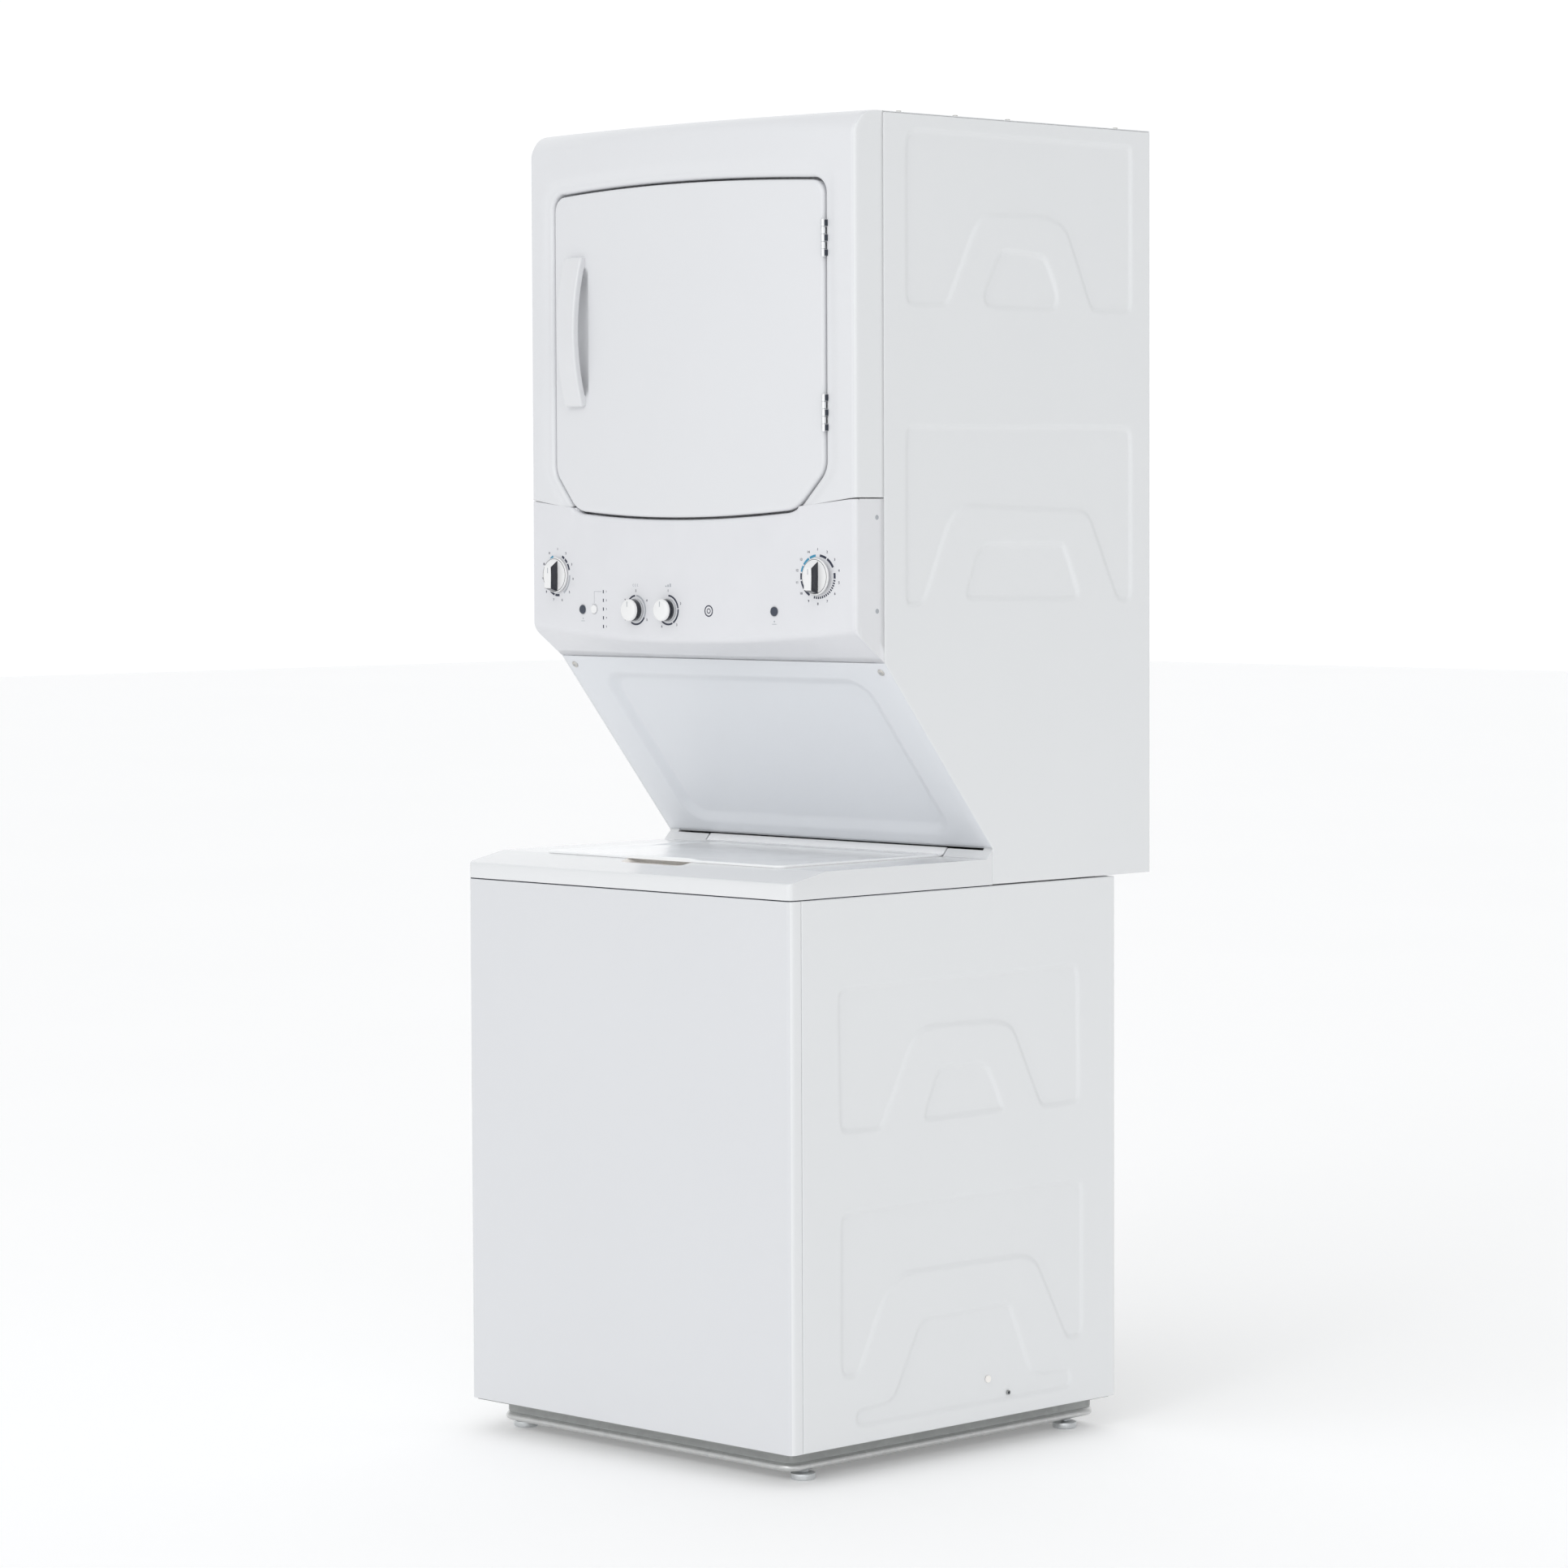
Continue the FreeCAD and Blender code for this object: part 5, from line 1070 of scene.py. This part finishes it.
# ================================================================== CONTROLS
KN = {"washer_cycle_knob": (-273.4, 1272.6), "dryer_cycle_knob": (273.4, 1273.4)}
KS = {"temperature_knob": (-88.2, 1222.8), "load_size_knob": (-18.0, 1223.5)}
for nm, (kx, kz) in KN.items():
    y0 = min(yf(kx - 26.0), yf(kx + 26.0)) - 0.6
    mb = MB()
    mb.lathe([(0, 0.0), (25.2, 0.0), (25.9, -0.6), (26.0, -1.6), (25.8, -3.0), (25.0, -3.8), (23.8, -4.1), (0, -4.4)], (kx, y0, kz), "y", 72)
    for r0_, r1_ in ((24.0, 24.7),):
        mb.lathe([(r0_, -4.0), (r0_ + 0.05, -4.16), (r1_ - 0.05, -4.02), (r1_, -3.6)], (kx, y0, kz), "y", 72, 1)
    o = make(nm + "_skirt", mb, ["knob", "knobdark"], nm, sharp=40)
    mb = MB()
    base_ = [(-17.5, -18.5), (-12.0, -22.5), (-4.0, -24.3), (7.4, -24.3), (8.2, 0.0), (7.8, 22.6), (-7.8, 23.4), (-8.6, 0.0), (-9.6, -11.0)]
    mid_ = [(-12.4, -17.8), (-9.8, -21.0), (-3.8, -22.6), (7.2, -22.6), (7.9, 0.0), (7.5, 18.4), (-7.6, 19.2), (-8.1, 0.0), (-8.8, -10.7)]
    top_ = [(-7.9, -16.6), (-7.5, -18.8), (-3.6, -19.8), (7.0, -19.8), (7.6, 0.0), (7.2, 12.6), (-7.3, 13.6), (-7.6, 0.0), (-7.8, -10.0)]
    rws = [[(kx + x, y0 - 3.6, kz + z) for x, z in base_], [(kx + x, y0 - 9.5, kz + z) for x, z in mid_], [(kx + x, y0 - 17.0, kz + z) for x, z in top_]]
    mb.rings(rws)

    # faces to the front, up and left take the white, faces turned right and down the near-black: dark knob body, with
    # the split by facing painting shade
    def grip_dark_body_and_painted_shade(bm):
        for f in bm.faces:
            if f.normal.y < -0.92 or f.normal.z > 0.30 or f.normal.x < -0.45:
                f.material_index = 1
    o = make(nm + "_grip", mb, ["knobdark", "knob"], nm, [nm], bevel=0.9, seg=3, post=grip_dark_body_and_painted_shade)
    mb = MB()
    mb.box(kx - 0.7, kx + 0.7, y0 - 17.12, y0 - 16.0, kz + 3.0, kz + 11.0)
    make(nm + "_pointer", mb, "grey", nm, sharp=30)
for nm, (kx, kz) in KS.items():
    y0 = min(yf(kx - 17.0), yf(kx + 17.0)) - 0.6
    mb = MB()
    mb.lathe([(0, 0.0), (16.6, 0.0), (16.9, -0.5), (16.9, -2.0), (16.3, -2.5), (0, -2.5)], (kx, y0, kz), "y", 64, 0)
    mb.lathe([(0, -2.0), (15.2, -2.0), (15.7, -3.4), (15.8, -11.6), (0, -11.6)], (kx, y0, kz), "y", 64, 1)
    mb.lathe([(0, -11.2), (15.8, -11.2), (15.95, -11.8), (15.9, -13.6), (15.2, -15.2), (13.8, -16.2), (11.5, -16.7), (0, -17.0)], (kx, y0, kz), "y", 64, 2)
    make(nm + "_body", mb, ["ring", "knobdark", "knob"], nm, [nm], sharp=35)
    mb = MB()
    mb.box(kx - 0.6, kx + 0.6, y0 - 17.08, y0 - 15.5, kz + 5.0, kz + 12.5)
    make(nm + "_pointer", mb, "grey", nm, sharp=30)
for nm, (bx_, bz_, mt_) in {"washer_start_button": (-211.0, 1222.3, "slate"), "option_button": (-184.0, 1223.0, "knob"), "dryer_start_button": (193.6, 1223.5, "slate")}.items():
    yy = yf(bx_)
    mb = MB()
    mb.lathe([(0, 10.0), (6.5, 10.0), (6.5, -1.2), (6.2, -1.9), (5.4, -2.3), (3.0, -2.15), (0, -2.0)], (bx_, yy, bz_), "y", 48)
    make(nm + "_cap", mb, mt_, nm, [nm], sharp=40)

# button bezels and printing on the fascia --------------------------------------


def band(mb_, kx, kz, r0, r1, a0, a1, m=0, lift=0.16):
    # a printed arc; angles in clock degrees (0 at the top, clockwise)
    n = max(2, int(abs(a1 - a0) / 3))
    top, bot = [], []
    for i in range(n + 1):
        a = math.radians(90 - (a0 + (a1 - a0) * i / n))
        for r_, L_ in ((r0, top), (r1, bot)):
            x, z = kx + r_ * math.cos(a), kz + r_ * math.sin(a)
            L_.append((x, yf(x) - lift, z))
    back = lambda L_: [(x, y + 0.5, z) for x, y, z in L_]
    mb_.grid([top, bot, back(bot), back(top), top], m=m)
    for e in (0, -1):
        mb_.ngon([top[e], bot[e], back(bot)[e], back(top)[e]], m)


def dot(mb_, x, z, r, m=0, lift=0.16):
    band(mb_, x, z, 0.02, r, 0, 360, m, lift)


def bar(mb_, x0, x1, z0, z1, m=0, lift=0.16):
    n = max(1, int(abs(x1 - x0) / 4))
    t = [(x0 + (x1 - x0) * i / n, yf(x0 + (x1 - x0) * i / n) - lift, z1) for i in range(n + 1)]
    b = [(x, y, z0) for x, y, z in t]
    bk = lambda L_: [(x, y + 0.5, z) for x, y, z in L_]
    mb_.grid([t, b, bk(b), bk(t), t], m=m)
    for e in (0, -1):
        mb_.ngon([t[e], b[e], bk(b)[e], bk(t)[e]], m)


pr_ = MB()
for (kx, kz), spans in (((-273.4, 1272.6), [(300, 318, 1), (322, 338, 1), (22, 34, 0), (38, 52, 0), (56, 75, 0), (90, 150, 2), (172, 192, 0), (196, 218, 0), (236, 262, 0)]),
                        ((273.4, 1273.4), [(283, 300, 1), (304, 328, 1), (332, 353, 1), (7, 30, 0), (34, 64, 0), (80, 95, 0), (210, 232, 0), (236, 258, 0), (262, 279, 0)] + [(99 + 7 * i, 103 + 7 * i, 0) for i in range(14)])):
    for a0, a1, m_ in spans:
        band(pr_, kx, kz, 28.2, 31.6, a0, a1, m_)
for (kx, kz), spans in (((-88.2, 1222.8), [(315, 355, 0), (120, 210, 0), (2, 118, 2)]), ((-18.0, 1223.5), [(2, 82, 0), (86, 150, 0), (155, 225, 0)])):
    for a0, a1, m_ in spans:
        band(pr_, kx, kz, 19.6, 22.2, a0, a1, m_)
for bx_, bz_ in ((-211.0, 1222.3), (193.6, 1223.5), (-184.0, 1223.0)):
    band(pr_, bx_, bz_, 6.75, 7.7, 0, 360, 3, 0.5)
for k, lz in enumerate((1249.0, 1236.2, 1223.4, 1210.5, 1197.7)):
    bar(pr_, -163.5, -161.7, lz - 2.35, lz + 2.35, 0, 0.3)
# generic pictograms
for i, h in enumerate((2.0, 3.4, 4.8)):
    bar(pr_, -24.0 + i * 4.6, -21.0 + i * 4.6, 1257.0, 1257.0 + h, 2)
for i in range(3):
    band(pr_, -93.0 + i * 4.8, 1259.0, 1.3, 2.0, 180, 360, 2)
for bx_ in (-211.0, 193.6):
    bar(pr_, bx_ - 4.2, bx_ + 4.2, 1205.0, 1205.8, 2)
    dot(pr_, bx_, 1209.2, 1.2, 2)
band(pr_, 66.0, 1223.0, 6.6, 8.4, 0, 360, 0)
band(pr_, 66.0, 1223.0, 2.6, 3.8, 0, 360, 0)
bar(pr_, -184.3, -183.7, 1232.0, 1248.7, 2)
bar(pr_, -184.3, -166.5, 1248.7, 1249.3, 2)
make("fascia_print", pr_, ["navy", "blue", "grey", "ring"], rep=["status_lenses"], sharp=30, weld=0.001)


def numeral(ch, x, z, size, mat_, name):
    cu = bpy.data.curves.new(name, "FONT")
    cu.body = ch
    cu.size = size
    cu.align_x = "CENTER"
    cu.align_y = "CENTER"
    cu.resolution_u = 3
    to = bpy.data.objects.new(name + "_src", cu)
    scene.collection.objects.link(to)
    bpy.context.view_layer.update()
    me = bpy.data.meshes.new_from_object(to.evaluated_get(bpy.context.evaluated_depsgraph_get()))
    vs = [(x + v.co.x, yf(x + v.co.x) - 0.15, z + v.co.y) for v in me.vertices]
    fs = [tuple(p.vertices) for p in me.polygons]
    bpy.data.objects.remove(to)
    bpy.data.curves.remove(cu)
    bpy.data.meshes.remove(me)
    return vs, fs


nb = MB()
for (kx, kz), n, r_, a0, da in (((-273.4, 1272.6), 11, 38.5, 0, 360 / 11.0), ((273.4, 1273.4), 14, 38.5, 0, 360 / 14.0), ((-88.2, 1222.8), 5, 28.0, -120, 60.0), ((-18.0, 1223.5), 4, 28.0, 0, 70.0)):
    for i in range(n):
        a = math.radians(90 - (a0 + da * i))
        vs, fs = numeral(str(i + 1), kx + r_ * math.cos(a), kz + r_ * math.sin(a), 5.0, "navy", "n%d" % i)
        nb.add(vs, fs)
for k, lz in enumerate((1249.0, 1236.2, 1223.4, 1210.5, 1197.7)):
    vs, fs = numeral(str(k + 1), -155.5, lz, 3.6, "navy", "s%d" % k)
    nb.add(vs, fs)
no = make("fascia_numerals", nb, "navy", sharp=30, weld=0.0005, recalc=False)
so = no.modifiers.new("thick", "SOLIDIFY")
so.thickness = 0.0003
so.offset = 0.0

# ================================================================== SCREWS
SC = []
for yy in (234.1, 350.1, 460.2, 694.2):
    for sx in (1, -1):
        SC.append(((sx * 328.0, yy, 1927.0), (0, 0, 1), "hex"))
for sx in (1, -1):
    SC.append(((sx * 233.0, 184.0, 1927.0), (0, 0, 1), "hex"))
    SC.append((slp(sx * 321.6, 18.0, 0.0), (0, -SLN[0], -SLN[1]), "pan"))
for zz in (1880.0, 1600.0, 1320.0, 1040.0, 860.0):
    for sx in (1, -1):
        SC.append(((sx * 328.0, 758.7, zz), (0, 1, 0), "hex"))
for zz in (780.0, 430.0, 90.0):
    for sx in (1, -1):
        SC.append(((sx * 328.0, 678.7, zz), (0, 1, 0), "hex"))
mb = MB()
for c, d, kind in SC:
    if kind == "hex":
        mb.lathe_dir([(0, -4.0), (2.0, -4.0), (2.0, 0.02), (4.4, 0.02), (4.6, 0.3), (4.5, 0.85), (3.9, 1.05), (0, 1.05)], c, d, 32)
        mb.lathe_dir([(3.7, 0.9), (3.7, 2.1), (3.3, 2.5), (1.2, 2.5), (1.0, 2.2), (0, 2.2)], c, d, 6)
    else:
        mb.lathe_dir([(0, -4.0), (2.2, -4.0), (2.2, 0.0), (5.4, 0.0), (5.6, 0.5), (5.2, 1.4), (4.0, 2.1), (2.4, 2.4), (0, 2.45)], c, d, 36)
make("screw_heads", mb, "zinc", rep=["cabinet_screws"], sharp=30)
mb = MB()
for c, d, kind in SC:
    # pan screws get a raised grey cross: painted shade standing in for the recessed cross slot
    if kind == "pan":
        dv = Vector(d).normalized()
        a = Vector((1, 0, 0))
        b = dv.cross(a)
        for u, w in ((a, b), (b, a)):
            q = Vector(c) + dv * 2.2
            pts = [q + u * s1 * 2.4 + w * s2 * 0.55 for s1, s2 in ((-1, -1), (1, -1), (1, 1), (-1, 1))]
            mb.rings([[tuple(p) for p in pts], [tuple(p + dv * 0.35) for p in pts]])
for sx in (1, -1):
    for zz in (1356.6, 1224.5):
        mb.lathe_dir([(0, -3.0), (3.5, -3.0), (3.5, 0.05), (3.1, 0.25), (0, 0.28)], (sx * HXF, 176.0, zz), (sx, 0, 0), 28)
make("screw_marks", mb, "grey", sharp=30)

# dark sheets behind the open joints: painted shade, so the gaps read as gaps
mb = MB()
xi = HX - 3.0
for x0_, x1_, y0_, y1_ in ((-xi, xi, 3.0, 9.0), (-xi, -xi + 6.0, 9.0, 410.0), (xi - 6.0, xi, 9.0, 410.0)):
    mb.box(x0_, x1_, y0_, y1_, 822.0, 826.5)
make("joint_painted_shade_lining", mb, "shadow", sharp=30)

# ================================================================== STAGE
mb = MB()
mb.box(-30000, 30000, -30000, 30000, -60.0, 0.0)
n = N("studio_floor")
n.link(n.mix(n.noise(0.8, 2.0), (0.935, 0.935, 0.935), (0.955, 0.955, 0.955)), n.b.inputs["Base Color"])
n.link(n.mrange(n.noise(60.0, 3.0), 0.3, 0.7, 0.75, 0.9), n.b.inputs["Roughness"])
n.set(Specular_IOR_Level=0.2, Emission_Strength=0.13)
n.b.inputs["Emission Color"].default_value = (1.0, 1.0, 1.0, 1.0)
M["floor"] = n.m
fl = make("studio_floor", mb, "floor", show=False, sharp=30)

w = bpy.data.worlds.new("studio")
scene.world = w
w.use_nodes = True
t = w.node_tree
bg = t.nodes["Background"]
tc_ = t.nodes.new("ShaderNodeTexCoord")


def lobe(direction, a, b, hi):
    d = t.nodes.new("ShaderNodeVectorMath")
    d.operation = "DOT_PRODUCT"
    d.inputs[1].default_value = direction
    t.links.new(tc_.outputs["Generated"], d.inputs[0])
    m = t.nodes.new("ShaderNodeMapRange")
    m.interpolation_type = "SMOOTHSTEP"
    m.inputs["From Min"].default_value = a
    m.inputs["From Max"].default_value = b
    m.inputs["To Min"].default_value = 0.0
    m.inputs["To Max"].default_value = hi
    t.links.new(d.outputs["Value"], m.inputs["Value"])
    return m.outputs["Result"]


def plus(a, b):
    m = t.nodes.new("ShaderNodeMath")
    m.operation = "ADD"
    for i, q in enumerate((a, b)):
        if isinstance(q, float):
            m.inputs[i].default_value = q
        else:
            t.links.new(q, m.inputs[i])
    return m.outputs[0]


# brighter overhead and behind the machine, quieter to the front and right
t.links.new(plus(plus(plus(lobe((0.0, 0.0, 1.0), 0.0, 1.0, 0.24), lobe((-0.711, 0.703, 0.0), 0.2, 0.85, 0.56)), lobe((0.44, -0.89, 0.10), 0.25, 1.0, 0.78)), 0.48), bg.inputs["Strength"])
bg.inputs["Color"].default_value = (0.985, 0.992, 1.0, 1.0)


def area(name, loc, target, size, power, color=(1, 1, 1)):
    li = bpy.data.lights.new(name, "AREA")
    li.shape = "RECTANGLE"
    li.size, li.size_y = size
    li.energy = power
    li.color = color
    o_ = bpy.data.objects.new(name, li)
    scene.collection.objects.link(o_)
    o_.location = loc
    d_ = Vector(target) - Vector(loc)
    o_.rotation_mode = "QUATERNION"
    o_.rotation_quaternion = d_.to_track_quat("-Z", "Y")


area("key", (2.4, -7.0, 4.4), (0.2, 0, 1.0), (1.4, 1.4), 42.0)
